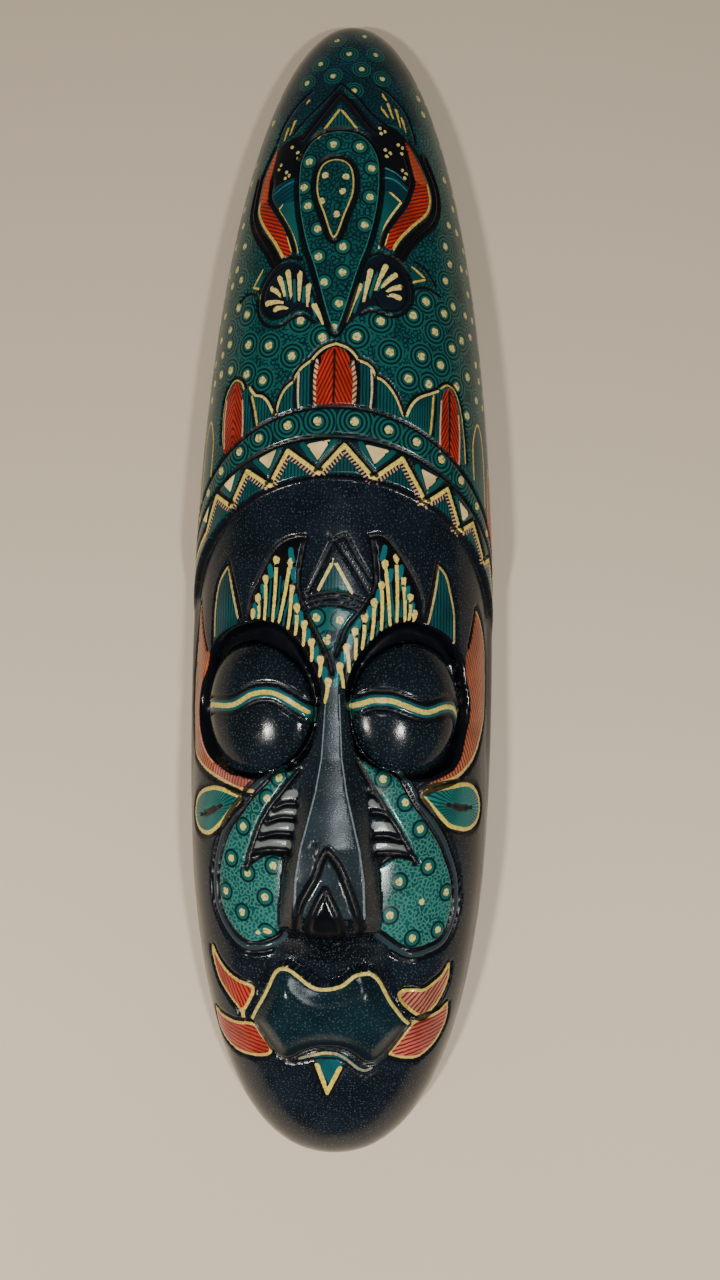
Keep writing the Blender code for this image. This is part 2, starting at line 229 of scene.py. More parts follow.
# Teal wedges with a gold line, between the drop and the wings
wedge_right = [(12.5, 134.5), (14.5, 143), (17, 148.5), (21.8, 156), (16.5, 160)]
wedge_left = [(-20.8, 133), (-23, 140), (-26.5, 147), (-30.5, 153.5), (-28, 156)]
area(wedge_right + [(12.6, 160), (12.4, 148)], TEAL, straight=True)
area(wedge_left + [(-21, 156), (-20.6, 146)], TEAL, straight=True)
for line, width, tail in ((wedge_right[:4], 0.9, 0.9), (wedge_right[3:], 0.9, 0.9),
                          (wedge_left[:4], 0.9, 0.9), (wedge_left[3:], 0.8, 0.6)):
    stroke(line, CREAM, width, tail)

# Wings
for outer, inner, slant in (
        ([(24, 184), (29.5, 177), (34.5, 168), (36, 161), (34, 154), (27.5, 147), (21.5, 140),
          (18.3, 134.5)],
         [(15, 136), (16.5, 141.5), (20.5, 148), (25, 155), (27.5, 162), (28.5, 168),
          (25.5, 178)], 25),
        ([(-33, 183), (-39.5, 171), (-41.5, 160), (-41.5, 155), (-38, 148), (-31.5, 139),
          (-27.5, 132)],
         [(-23.5, 133.5), (-26, 141), (-29.5, 147.5), (-33.5, 153.5), (-37, 160),
          (-36.5, 168)], -25)):
    side = 1 if outer[0][0] > 0 else -1
    area(outer + inner, RED, hatch=lines_at(slant, 1.5), ink=DARK_RED)
    area(outer[:3] + inner[-2:], ORANGE, hatch=lines_at(slant, 1.7), ink=RED)
    stroke(outer[2:], GOLD, 1.0, 1.3)
    stroke(inner[:2], CREAM, 0.5, 0.4)
    groove(inner, 2.4, 1.3, gap=1.35 * side)
    band(outer[1:], BLACK, 6.0, gap=3.9 * side)
    groove(outer, 2.2, 1.3, gap=2.3 * side)
    groove(outer[1:], 1.6, 1.0, gap=5.2 * side)

# Drop with its seed, the chevron over it and the dark arch round the chevron
SEED_GOLD = (0.46, 0.35, 0.10)
drop = around(-4.5, [(186, 0), (184.8, 7.5), (181, 12.5), (174, 16), (165, 16.7), (155, 16.2),
                     (145, 14.5), (135, 12), (128, 9.5), (118, 6.5), (110, 4.3), (102, 1.7),
                     (99, 0)])
area(drop, TEAL, CURLS)
groove(drop, 2.5, 1.5, closed=True, gap=1.3)
stroke(drop, (0.02, 0.15, 0.13), 0.5, closed=True, gap=-0.15)
seed = around(-5.8, [(173, 0), (171.8, 4.2), (168.5, 6.6), (163, 7.5), (157, 7.0), (149, 4.2),
                     (138.5, 0)])
groove(seed, 2.6, 1.2, closed=True, gap=1.6)
stroke(seed, SEED_GOLD, 0.8, closed=True)
area([(-14, 183.5), (-4.5, 197), (5, 184), (-4.5, 187.5)], TEAL, straight=True,
     hatch=lines_at(90, 1.4), ink=TEAL_DARK)
stroke([(-13.5, 183.5), (-4.5, 197)], GOLD, 1.0, 1.1, straight=True)
stroke([(-4.5, 197), (2.8, 187)], GOLD, 1.1, 0.9, straight=True)
arch = [(-20, 184), (-15.5, 189.5), (-9, 198), (-4.5, 204), (0.5, 198), (6, 190.5), (10, 186.5)]
band(arch, NAVY, 5.0)
groove(arch[:4], 1.8, 1.2, gap=1.0)
groove(arch[3:], 1.8, 1.2, gap=1.0)
groove([(-25, 188), (-20.5, 193), (-12, 201), (-4.5, 210)], 1.2, 0.8)
groove([(-4.5, 210), (2.5, 203), (9, 195), (16, 190)], 1.2, 0.8)
sprinkle([(-7, 180), (4, 179), (-17, 173), (9, 169.5), (-19, 161.5), (8.5, 156.5), (-17, 153),
          (6.5, 144), (-12.5, 142.5), (-2, 134.5), (-12, 130.5), (-2, 123.5), (-9.3, 119.5),
          (-3.2, 110.5), (-4.8, 100.5)], 1.55, 1.0)
sprinkle([(-10, 166), (-1.5, 165), (-2.7, 158.5), (-11.3, 154.5), (-5, 148.5)], 1.45, 0.0)
sprinkle([(12.3, 188.6), (14.3, 187.4), (12.8, 186.2), (14.6, 178.8), (16.8, 177.6),
          (15.3, 175.8), (20.3, 182.4), (22.2, 181.4), (22, 178.6), (22.3, 170.8), (24, 169.6),
          (23.4, 167.6), (-22.6, 178.4), (-21, 177.2), (-22.2, 175.6), (-25.4, 181.6),
          (-30.6, 174.6), (-31.6, 172.8), (-27.6, 170.2), (-26.2, 168.4), (-28, 167.6)],
         0.8, 0.0)

# Fans of brushed strokes in a dark spiral at both sides of the drop's foot
area([(-1, 100), (3, 104), (8, 109), (13, 110), (19, 108), (25, 111), (27, 118), (25, 125),
      (20, 130), (13, 131.5), (8, 128), (5, 119), (1, 107)], NAVY)
area([(-7, 100), (-11, 103), (-16, 107), (-21, 108.5), (-27, 105.5), (-33.5, 106.5),
      (-38, 112), (-37, 120), (-32, 127), (-25, 129.5), (-19, 127), (-15, 119), (-10, 107)],
     NAVY)
groove([(5.5, 106.2), (10.5, 108.2), (16, 106.6), (22, 107.6), (26.8, 112.6), (27.4, 119),
        (25, 125.5), (20, 130.6), (13, 132.6), (8.5, 131)], 1.7, 1.1)
groove([(11.5, 113.4), (13.8, 109.8), (18, 108.6), (23, 111.2), (24.6, 116), (23.6, 121.6),
        (19.6, 126.6), (14.5, 129.6)], 0.9, 0.6)
groove([(-13, 103), (-18, 106.5), (-22.5, 105.5), (-28, 102.6), (-34.5, 104), (-38.8, 110),
        (-39, 117), (-36, 124), (-30.5, 129.5), (-24, 131.6), (-19, 130)], 1.7, 1.1)
groove([(-20.5, 110.6), (-23.8, 107.6), (-29, 106.2), (-34, 109), (-36.4, 114), (-35, 120),
        (-30.4, 125.4), (-25, 128)], 0.9, 0.6)
for head, foot in (((9.3, 124.5), (6.5, 110.5)), ((15.5, 127), (11, 115.5)),
                   ((19.5, 123.8), (13.3, 117)), ((21.7, 119), (15.5, 116)),
                   ((21.3, 114.5), (16, 114.6)), ((5, 118), (0, 103)),
                   ((-28.5, 123), (-25.6, 114)), ((-24.8, 125), (-23, 113.5)),
                   ((-19.5, 124), (-19.6, 112.5)), ((-15.7, 118.5), (-16, 109)),
                   ((-32, 119), (-27.4, 114.6)), ((-34, 113), (-25.5, 112)),
                   ((-30, 110), (-24.5, 109.6)), ((-13.3, 110), (-9.3, 102))):
    middle = ((head[0] + foot[0]) / 2, (head[1] + foot[1]) / 2 + 0.6)
    stroke([head, middle, foot], CREAM, 2.5, 0.9)
for head, foot in (((12, 124.5), (8.8, 113)), ((17, 123), (12, 116.6)), ((7.4, 121), (3, 107)),
                   ((-22, 123), (-21.4, 112)), ((-26.4, 122), (-24.4, 113)),
                   ((-17.5, 119), (-17.8, 111)), ((-14.4, 113.5), (-12.6, 105.5))):
    band([head, foot], (0.003, 0.085, 0.085), 1.2, straight=True)
for leaf in ([(26.5, 129), (33.5, 124.5), (27, 122)], [(-36.5, 129), (-42, 121.5), (-38, 120)]):
    area(leaf, TEAL, straight=True)
    stroke(leaf[:2], GOLD, 0.9, straight=True)
    stroke(leaf[1:], GOLD, 0.9, straight=True)
groove([(28.5, 119.6), (34, 121), (41, 119)], 1.4, 0.9)
groove([(28, 131.5), (34, 128.5), (39, 122.5)], 1.2, 0.8)
groove([(-39.5, 117.6), (-45, 119.5), (-50, 117)], 1.4, 0.9)
for head, foot in (((13, 205.5), (15.2, 202.5)), ((12.5, 199), (16.5, 193.5)),
                   ((15.5, 201.5), (18.5, 193)), ((19.3, 199.5), (21.5, 191)),
                   ((22, 196), (24, 189.5)), ((-24.5, 195), (-27, 188)),
                   ((-28, 192), (-30, 186)), ((-18, 203.5), (-20.5, 201))):
    stroke([head, foot], GOLD, 1.4, 0.6, straight=True)
groove([(10.5, 210), (17, 206.5), (24, 199.5), (28, 190), (29, 185)], 1.2, 0.8)
groove([(-17, 208), (-25, 201.5), (-31, 193.5), (-34, 186)], 1.2, 0.8)

# Ringed dots of the crown ground, at random places farther out
sprinkle([(-45, 110.5), (-18.7, 104), (-9.5, 96.5), (-43.3, 97), (-32.5, 95), (-22, 89.5),
          (-43.5, 84.5), (-35, 80.7), (-56, 100), (-51, 115), (-54, 88), (-62, 88), (4.3, 97),
          (13.7, 104), (17.8, 91.5), (27.5, 108), (38, 103), (31.5, 91.5), (41, 89.5),
          (25.7, 81.5), (35, 80.5), (47.5, 98), (54, 103), (43, 112), (33.5, 115), (58, 88),
          (50, 82), (57, 71)], 1.7, 2.0)
sprinkle([(-8, 214), (4, 217.5), (-1.5, 226), (-14, 222), (10, 227), (13, 214), (-7, 235),
          (5, 238), (-20, 213), (1, 206)], 1.15, 2.0)
scatter = np.random.default_rng(11)
taken = [(s, y) for s, y, _, _ in dots]
for row in range(16):
    for column in range(9):
        for side in (-1, 1):
            y = 78 + 9.5 * row + scatter.uniform(-2.5, 2.5)
            s = side * (34 + 8.6 * column + 4.3 * (row % 2) + scatter.uniform(-2.2, 2.2)) - 3
            reach = GIRTH * float(end_share(np.array(y)))
            near_wing = 122 < y < 196 and abs(s + 3) < 47
            near_petal = y < 84 and abs(s + 3) < 62
            near_dot = any(math.hypot(s - a, y - b) < 6.5 for a, b in taken)
            if abs(s) < reach - 3 and not (near_wing or near_petal or near_dot):
                sprinkle([(s, y)], 1.5, 2.0)
                taken.append((s, y))

# Headband: petals stand on a band of spiral rings, over a gold zigzag with cream triangles.
# Its lower edge steps down to the face. Cut into the same wood and painted.
BAND_MIDDLE = -4
UPPER = [(s, 68.5 - 0.0066 * (s - BAND_MIDDLE) ** 2) for s in range(-100, 101, 10)]
LOWER = [(s, 56.5 - 0.0060 * (s - BAND_MIDDLE) ** 2) for s in range(-100, 101, 10)]

# Middle group of petals
PETAL_LINE = (0.50, 0.40, 0.24)
PETAL_EDGE = (0.50, 0.30, 0.18)
middle_left = [(-4, 94), (-8.5, 92.4), (-12, 89.4), (-13.6, 87.4)]
middle_right = [(-4, 94), (0.5, 92.4), (3.4, 89.8), (5, 87.4)]
step_left = [(-13.6, 87.4), (-17.6, 84.6), (-20, 81.4), (-20.8, 79.2)]
step_right = [(5, 87.4), (8.8, 86), (11, 83.8), (12, 81)]
foot_left = [(-20.8, 79.2), (-24.6, 76.2), (-27, 71.6), (-28.4, 66)]
foot_right = [(12, 81), (16, 79), (20.4, 73.6), (23.6, 66.2)]
area(middle_left + step_left + foot_left + foot_right[::-1] + step_right[::-1]
     + middle_right[::-1], TEAL, straight=True, hatch=lines_at(90, 1.4), ink=TEAL_DARK)
area([(-14, 86), (-12.6, 69), (-11, 69), (-11.5, 80), (-10.4, 88), (-7, 91.4), (-4, 92.4),
      (-0.5, 91.2), (2.4, 87), (3.6, 78), (3.3, 69), (5.4, 69), (5.6, 86), (3, 90), (-4, 94),
      (-11, 90)], BLACK, straight=True)
area([(-11.2, 69), (-11.7, 80), (-10.3, 87.6), (-7, 91.6), (-4, 92.6), (-0.8, 91.4),
      (2, 87.2), (3.3, 78), (3, 69)], RED, hatch=feathered(-4.5, 2.2, 3.4), ink=DARK_RED)
for side in (-1, 1):
    area([(side * x - 4.3, y) for x, y in ((8.9, 69.2), (9.1, 79), (7.4, 88.2), (5.9, 88.6),
                                           (7.4, 79), (7.1, 69.2))],
         (0.56, 0.36, 0.20), straight=True, hatch=lines_at(side * 42, 1.7), ink=DARK_RED)
groove([(-4.5, 92), (-4.4, 80), (-4.6, 69.5)], 0.9, 0.6)
groove([(-13.4, 87), (-13.6, 78), (-13.2, 68.8)], 1.5, 0.9)
groove([(4.9, 87), (5.4, 78), (5.0, 68.8)], 1.5, 0.9)
groove([(-20.7, 80), (-20.4, 73), (-20, 67)], 1.3, 0.8)
groove([(12.2, 81), (12.1, 74), (11.6, 67.6)], 1.3, 0.8)
stroke([(-18.9, 82.6), (-19, 74), (-18.6, 67.8)], PETAL_LINE, 1.0, 0.8)
stroke([(10.4, 84), (10.7, 75), (10.2, 68.4)], PETAL_LINE, 1.0, 0.8)

# Side groups of petals
area([(-40, 79.5), (-36, 76), (-32, 72.5), (-29.5, 66.4), (-30, 61), (-39, 57), (-45.5, 55),
      (-45.8, 70), (-44, 79)], TEAL, straight=True, hatch=lines_at(90, 1.4), ink=TEAL_DARK)
area([(-55.5, 53), (-56, 66), (-55, 76), (-51, 81.4), (-47, 80.6), (-45.6, 74), (-44.9, 62),
      (-45.2, 54)], RED, hatch=feathered(-50.3, 2.0, 3.2), ink=DARK_RED)
stroke([(-55.7, 54), (-56.3, 66), (-55.4, 75.5)], PETAL_EDGE, 0.8)
stroke([(-44.8, 56), (-44.6, 64), (-45.4, 75)], PETAL_EDGE, 0.8)
area([(25.3, 66), (27.8, 71), (31, 74), (35.5, 76.4), (39, 78.6), (41.6, 78), (41.4, 62),
      (40.9, 52), (33, 56), (26, 61)], TEAL, straight=True, hatch=lines_at(90, 1.15),
     ink=TEAL_DARK)
area([(40.8, 51.6), (41, 64), (41.6, 75), (44.6, 80.2), (48, 79), (50.6, 73), (51.6, 62),
      (51.2, 47)], RED, hatch=feathered(46, 2.0, 3.2), ink=DARK_RED)
stroke([(40.9, 53), (40.9, 64), (41.5, 75)], PETAL_EDGE, 0.8)
stroke([(51.4, 49), (51.8, 62), (50.9, 72)], PETAL_EDGE, 0.8)
groove([(46, 79), (46.1, 65), (46, 50.5)], 1.0, 0.7)
stroke([(-40.3, 75), (-38.4, 69), (-37, 62.5)], GOLD, 1.0)
groove([(-41.9, 75), (-40, 69), (-38.6, 62)], 1.1, 0.7)
stroke([(37.4, 76), (36.9, 69), (36, 60)], GOLD, 1.0)
groove([(39, 76), (38.5, 69), (37.6, 59.5)], 1.1, 0.7)
left_crest = [(-41.5, 78.5), (-38.5, 75), (-35.5, 74.4), (-32.3, 71.6), (-29.4, 66.2)]
right_crest = [(25.2, 66.2), (27.6, 71.2), (31, 74.4), (35.5, 76.4), (40, 78.4)]
left_tip = [(-57.2, 57), (-57.6, 68), (-56, 77), (-51, 82.8), (-46.5, 81.5), (-44.5, 78)]
right_tip = [(41, 79.5), (44.6, 81.6), (49, 79.8), (52.4, 73), (54.6, 62), (55.6, 50)]
for line in (middle_left, middle_right, step_left, step_right, foot_left, foot_right,
             left_crest, right_crest):
    stroke(line, CREAM, 1.2, 1.0)
for line, side in ((middle_left, -1), (middle_right, 1), (step_left, -1), (step_right, 1),
                   (foot_left, -1), (foot_right, 1), (left_crest, 1), (right_crest, 1)):
    groove(line, 1.3, 0.9, gap=1.15 * side)
for line, width in ((right_tip, 0.8), (left_tip, 0.7)):
    stroke(line, GOLD, width)
    groove(line, 1.4, 0.9, gap=1.2)
for side, outer in ((-1, -66.0), (1, 62.0)):
    area([(outer, 40), (outer - side * 0.5, 60), (outer + side * 4, 69), (outer + side * 9, 60),
          (outer + side * 11, 38)], TEAL, hatch=lines_at(90, 1.4), ink=TEAL_DARK)
    stroke([(outer, 44), (outer - side * 0.5, 60), (outer + side * 4, 69),
            (outer + side * 9, 60), (outer + side * 11, 34)], GOLD, 0.9)
    area([(outer + side * 15, 24), (outer + side * 15, 44), (outer + side * 18, 52),
          (outer + side * 22, 44), (outer + side * 24, 20)], RED,
         hatch=feathered(outer + side * 19, 2.0, 3.2), ink=DARK_RED)
    stroke([(outer + side * 15, 28), (outer + side * 15, 44), (outer + side * 18, 52),
            (outer + side * 22, 44), (outer + side * 24, 18)], GOLD, 0.8)

# Band of spiral rings between two grooves
area(UPPER + LOWER[::-1], TEAL_DARK, straight=True)
sprinkle([(-10.7, 62.5), (-23, 61.2), (-36, 57), (-46, 52.4), (-57.3, 45.6), (-68, 37.6),
          (-79, 28), (4, 62.5), (17.7, 59.8), (29.8, 56), (41.6, 50.2), (52.8, 43), (64.2, 33.6),
          (75, 23.4)], 1.75, 3.0)
groove(UPPER, 2.0, 1.3)
groove(LOWER, 2.2, 1.4)

# Zigzag band
ZIGZAG = [(-91, 3), (-84, 9), (-76.5, 14.5), (-68, 20.5), (-60, 35.5), (-49.7, 30),
          (-41.5, 44), (-30.3, 37.3), (-22.7, 51), (-9.8, 41.8), (0.2, 53), (12, 40),
          (23.7, 48.8), (34.5, 31.8), (45, 38.5), (52.5, 21.8), (61, 26), (71, 10), (78, 12),
          (86, -3)]
PALE = (0.68, 0.50, 0.23)
step_line = [(s, brow_edge(s + 3) + 0.9) for s in range(-100, 101, 5)]
area(LOWER + step_line[::-1], TEAL_DARK, straight=True)
area(ZIGZAG + step_line[::-1], TEAL, straight=True, hatch=lines_at(90, 1.4), ink=TEAL_DARK)
for left, right, apex in (((-14.9, 53.4), (-5.1, 55.2), (-10.2, 46.8)),
                          ((-35.9, 48.4), (-27.5, 52), (-30.8, 44)),
                          ((-55.2, 39.9), (-47.8, 43.5), (-50.4, 36)),
                          ((8.3, 53.6), (18.2, 51.6), (12.3, 45.6)),
                          ((31.8, 45.5), (40.2, 42.5), (34.7, 37)),
                          ((51.3, 34.6), (58.2, 29.6), (54, 26)),
                          ((-73.2, 26.6), (-66, 32.2), (-68.6, 25))):
    area([left, right, apex], PALE, straight=True)
    for top, side in ((left, -1), (right, 1)):
        run = np.array(apex) - top
        out = side * np.array([-run[1], run[0]]) / np.hypot(*run)
        band([top + out * 1.4 - run * 0.12, apex + out * 1.4 + run * 0.10], TEAL, 2.3,
             straight=True)
for a, b in zip(ZIGZAG[:-1], ZIGZAG[1:]):
    a, b = np.array(a, float), np.array(b, float)
    across = np.array([-(b - a)[1], (b - a)[0]]) / np.hypot(*(b - a))
    turned = math.degrees(math.atan2(b[1] - a[1], b[0] - a[0])) + 80
    area([a, b, b - across * 2.6, a - across * 2.6], TEAL_DARK, straight=True,
         hatch=lines_at(turned, 1.5), ink=(0.50, 0.27, 0.17))
    stroke([a, b], (0.66, 0.52, 0.09), 1.75, straight=True)
    groove([a + across * 1.85, b + across * 1.85], 1.7, 1.1, straight=True)
groove([(s, y - 1.1) for s, y in step_line[2:-2]], 0.9, 0.0)

# Forehead: dark stippled ground. Two leaves filled with brushed match-shaped strokes rise
# from the root of the nose, with a small triangle between them and a spike over each eye.
leaf_left_outer = [(-15, 17), (-20, 16.6), (-25, 15), (-30, 10.5), (-36, 0.5), (-39.7, -6),
                   (-41.4, -16)]
leaf_left_inner = [(-15, 17), (-17, 7.5), (-17.8, 0), (-17, -7), (-14.8, -12.5),
                   (-11.3, -18.5), (-7.8, -25), (-5, -30.5), (-3, -37)]
leaf_right_outer = [(11, 17.5), (16.5, 18), (21.5, 14), (31, 1.5), (34.5, -6), (35, -15)]
leaf_right_inner = [(11, 17.5), (12.5, 14), (14, -1.5), (11, -7.5), (6.3, -14), (2.7, -18.5),
                    (0, -25), (-1.5, -30)]
area(leaf_left_outer + [(-35, -17.5), (-26, -19), (-18.5, -24.5), (-12.5, -33), (-8, -42.5),
                        (-6.5, -50), (-4.3, -50), (-3.6, -40)] + leaf_left_inner[1:][::-1],
     BLACK, straight=True)
area(leaf_right_outer + [(29, -16.5), (21, -18.5), (14.5, -23.5), (8.5, -30), (4.2, -38),
                         (2.4, -46), (0.6, -46), (-0.6, -38)] + leaf_right_inner[1:][::-1],
     BLACK, straight=True)
for line, side in ((leaf_left_outer, 1), (leaf_left_inner, -1), (leaf_right_outer, 1),
                   (leaf_right_inner, -1)):
    groove(line, 2.2, 1.5)
MATCHES = [((-27.8, 7.5), (-29, -16.5)), ((-21.7, 6.5), (-26, -17)), ((-20.8, -4), (-22, -19.5)),
           ((-32.7, 0), (-32.8, -16)), ((-36.3, -7.5), (-35.6, -15.5)),
           ((-38.7, -13.6), (-38.6, -15.6)), ((-18.4, -11.5), (-18.7, -22)),
           ((-15.2, -18), (-15.3, -26)), ((-11.9, -25), (-11.7, -32)), ((-8, -32), (-8.3, -38)),
           ((-4.6, -40.5), (-5.8, -48.5)), ((22.7, 9), (23.5, -16)), ((18, 6.5), (20.5, -17.5)),
           ((26, 0), (27, -15.5)), ((16.7, -2), (16.8, -19.5)), ((29.3, -6.5), (28.8, -15)),
           ((13.6, -9), (12.8, -23.5)), ((31.2, -13), (31, -15.5)), ((9.8, -15), (9, -27)),
           ((6, -20.5), (6.2, -31)), ((2.6, -27), (3.8, -36)), ((0, -34.5), (1.6, -42.5))]
for (s, y), foot in MATCHES:
    stroke([(s, y), ((s + foot[0]) / 2 + 0.3, (y + foot[1]) / 2), foot],
           (0.64, 0.50, 0.10), 1.7, 1.3)
    stroke([(s, y + 0.5), (s + 0.1, y - 1.6)], (0.64, 0.48, 0.12), 3.2, 1.8, straight=True)
DROPS = [(-21.5, 10.5), (-30.7, 4), (-34, -4), (-37.6, -11.5), (-20.5, 3), (-19, -8),
         (-16.8, -14.6), (-13.6, -21.6), (-10.1, -28.5), (-6.4, -36.6), (17.6, 12), (25, 4.5),
         (20.6, 3), (28, -3.5), (15.5, -5.5), (30.3, -10), (12, -12.2), (7.4, -17.5),
         (4.3, -23.2), (1.5, -30.5), (-0.6, -38)]
for s, y in DROPS:
    lean = 0.9 if s < -3 else -0.9
    band([(s, y + 1.2), (s + lean * 0.2, y - 0.6), (s + lean, y - 3.2)],
         (0.003, 0.100, 0.112), 2.5)
for (s, y), foot in MATCHES:
    if y - foot[1] > 11:
        for gap in (-2.1, 2.1):
            band([(s + gap, y - 5.5), (foot[0] + gap, foot[1] + 1)], (0.003, 0.070, 0.085),
                 0.8, straight=True)

# Triangle with the arcs under it, and the ringed dots where the leaves meet
TRIANGLE_GOLD = (0.60, 0.50, 0.16)
triangle = [(-9.4, -4), (-3.3, 8), (4.4, -5)]
area(triangle, TEAL, straight=True, hatch=lines_at(90, 1.4), ink=TEAL_DARK)
stroke(triangle[:2], TRIANGLE_GOLD, 1.4, straight=True)
stroke(triangle[1:], TRIANGLE_GOLD, 1.4, straight=True)
for drop_by in (0, 2.4, 4.6):
    groove([(-14.5, -7.3 - drop_by), (-9, -5.6 - drop_by), (-3.5, -5 - drop_by),
            (3, -6 - drop_by), (9.5, -8.6 - drop_by)], 1.3, 0.9)
groove([(-3.3, 16), (-8.5, 5.5), (-14, -5.5)], 1.6, 1.2)
groove([(-3.3, 16), (3.5, 7), (11, -4.5)], 1.6, 1.2)
groove([(1.6, 17), (6.5, 8.5), (13, -1)], 1.3, 0.9)
groove([(-5, 17.5), (-3.3, 16), (1, 17.5)], 1.4, 0.9)
area([(-14, -12), (-3.5, -10.6), (9, -13), (5.8, -18), (2, -23), (-0.8, -29), (-2.4, -35),
      (-4.6, -30), (-8.8, -23.5), (-12.6, -16.5)], TEAL, straight=True)
sprinkle([(-10, -15), (-0.3, -16), (-5.5, -24)], 1.7, 1.0)
sprinkle([(-4.8, -22.5)], 1.0, 0.0)

# Spikes
for points, edges in (
        ([(-53.5, 6), (-50.3, -5), (-46.8, -15.5), (-47, -18), (-54, -20.5), (-62, -25),
          (-62.5, -16), (-61.5, -7), (-59, 0)],
         ([(-53.5, 6), (-50.3, -5), (-46.8, -15.5)],
          [(-53.5, 6), (-59, 0), (-61.5, -7), (-62.5, -16), (-62.2, -23)])),
        ([(42.7, 7.2), (42, 0), (40.3, -8), (38, -16.5), (45, -19.4), (52.3, -25),
          (52, -12.5), (50, -5), (47, 3)],
         ([(42.7, 7.2), (42, 0), (40.3, -8), (38, -16.5)],
          [(42.7, 7.2), (47, 3), (50, -5), (52, -12.5), (52.3, -24)]))):
    area(points, (0.0020, 0.0520, 0.0560), straight=True, hatch=lines_at(90, 1.7), ink=TEAL_DARK)
    for edge in edges:
        stroke(edge, (0.42, 0.32, 0.11), 1.1, 1.0)
groove([(-53.5, 7.6), (-49.4, -3), (-45.3, -15)], 1.9, 1.3)
groove([(-53.5, 7.6), (-60, 1), (-63, -7), (-64, -16), (-64.4, -26)], 1.2, 0.8)
groove([(42.5, 9), (40.6, 0), (38.6, -8), (36.4, -15.5)], 1.9, 1.3)
groove([(42.5, 9), (48.6, 3.6), (51.8, -5), (53.6, -12.5), (54, -24)], 1.2, 0.8)

# Eyes: deep black sockets with a bulging closed eye in each, carved with them. A gold lid
# line runs over each eye between two grooves, and a red flame stands outside each socket.
SOCKET_DEPTH = 0.0085
SOCKET_RUN = 3.4
EYE_RISE = 0.0010
EYES = [((-41.0, -52.0), (30.0, 27.0)), ((32.2, -51.0), (27.6, 27.0))]
SOCKETS = [curve(loop, True) for loop in (
    [(-35, -16), (-45, -17.5), (-54, -20.5), (-62.5, -25.5), (-67, -31.5), (-71.5, -38.5),
     (-75, -45), (-77, -50.5), (-77, -56), (-74.5, -62.3), (-69.5, -68.2), (-63.5, -73),
     (-57, -76.5), (-48.6, -79), (-40, -80.5), (-30, -79.7), (-22, -77.5), (-15.5, -73),
     (-10.5, -67), (-7.8, -60), (-6.7, -52), (-7, -45), (-8.6, -40), (-11, -34.5),
     (-14, -29.5), (-17, -25), (-21, -21.3), (-26, -17.6)],
    [(29, -15), (20.3, -17.8), (14.5, -21.3), (8.3, -28.5), (4, -37), (2.4, -45),
     (2.6, -54), (4, -62), (7.5, -69), (12.5, -74), (20, -77.3), (29, -79.5), (38, -79.8),
     (46, -78.3), (52.3, -76), (57, -71.5), (60, -65), (63.5, -58), (64.6, -51), (63, -44),
     (61.5, -40), (59.5, -33), (55.5, -27), (48.5, -21), (40, -17.5)])]
LIDS = [[(-68, -53), (-63.5, -52.3), (-59.5, -51.5), (-50.5, -51.3), (-44.5, -50.5),
         (-40.3, -48.4), (-36.5, -46.2), (-31.5, -45), (-26.7, -45.2), (-22.7, -46.9),
         (-19.8, -48.5), (-17.2, -50.2), (-13.2, -52.5)],
        [(5.3, -49.8), (9.5, -48.6), (13.2, -47.3), (16.5, -47.1), (20.9, -47.3),
         (24.8, -48.6), (28.2, -49.8), (31.6, -51.1), (35.3, -51.9), (38.9, -51.4),
         (42.9, -50.3), (47.3, -50), (51.2, -50.8), (54.5, -53.1), (56.7, -55.3),
         (57.8, -58.5)]]
for socket in SOCKETS:
    areas.append((socket, BLACK, PLAIN, None, BLACK))
for centre, half in EYES:
    turns = np.linspace(0, 2 * math.pi, 49)
    ball = np.stack([centre[0] + half[0] * 0.97 * np.cos(turns),
                     centre[1] + half[1] * 0.97 * np.sin(turns)], axis=1)
    areas.append((ball, (0.0035, 0.0068, 0.0105), STIPPLE, None, BLACK))
for lid in LIDS:
    band(lid, (0.0050, 0.0700, 0.0800), 4.4)
    stroke(lid, (0.54, 0.43, 0.09), 2.2, 1.8)
    groove(lid[1:], 1.9, 1.2, gap=3.6)
    groove(lid[1:], 1.9, 1.2, gap=-3.5)
band([(-12.6, -49.5), (-11.2, -52), (-11.6, -55.5)], (0.002, 0.036, 0.026), 2.4)
band([(5.8, -47.5), (5.0, -50), (5.6, -53)], (0.002, 0.030, 0.022), 2.0)

# Flames
FLAME_GOLD = (0.46, 0.33, 0.11)
FLAME = (0.330, 0.085, 0.030)
area([(-80, -9), (-83.5, -22), (-86, -35), (-87, -50), (-85.5, -62), (-80.5, -72.8),
      (-72.5, -76.5), (-64.5, -79.1), (-59, -80.5), (-50, -82.7), (-44, -84.4), (-36, -84.6),
      (-36, -80.6), (-48.6, -79.3), (-58.9, -75.6), (-64.3, -72.8), (-70, -68.2),
      (-75, -62.3), (-77.5, -55.7), (-77.2, -49.5), (-74, -42.8), (-68.5, -35), (-66, -30.4),
      (-68.3, -29.2), (-73, -25)], FLAME, straight=True, hatch=lines_at(63, 1.8),
     ink=(0.085, 0.010, 0.006))
area([(-36, -80.6), (-48.6, -79.3), (-58.9, -75.6), (-60, -80.2), (-50, -82.7), (-36, -84.6)],
     (0.36, 0.12, 0.09), straight=True, hatch=lines_at(80, 1.6), ink=(0.16, 0.03, 0.02))
area([(68.5, -10), (65, -23), (60.7, -29), (60.3, -36.3), (63.8, -44), (64.9, -51),
      (63.8, -57), (60, -65), (57.4, -71.7), (52.3, -76.7), (43.5, -79.5), (39.6, -80.5),
      (36, -83), (43.5, -81.8), (53.5, -79.6), (60.4, -76.4), (68, -71.4), (76, -61.8),
      (80, -55), (82, -44), (80.5, -28), (74, -16)], FLAME, straight=True,
     hatch=lines_at(117, 1.8), ink=(0.085, 0.010, 0.006))
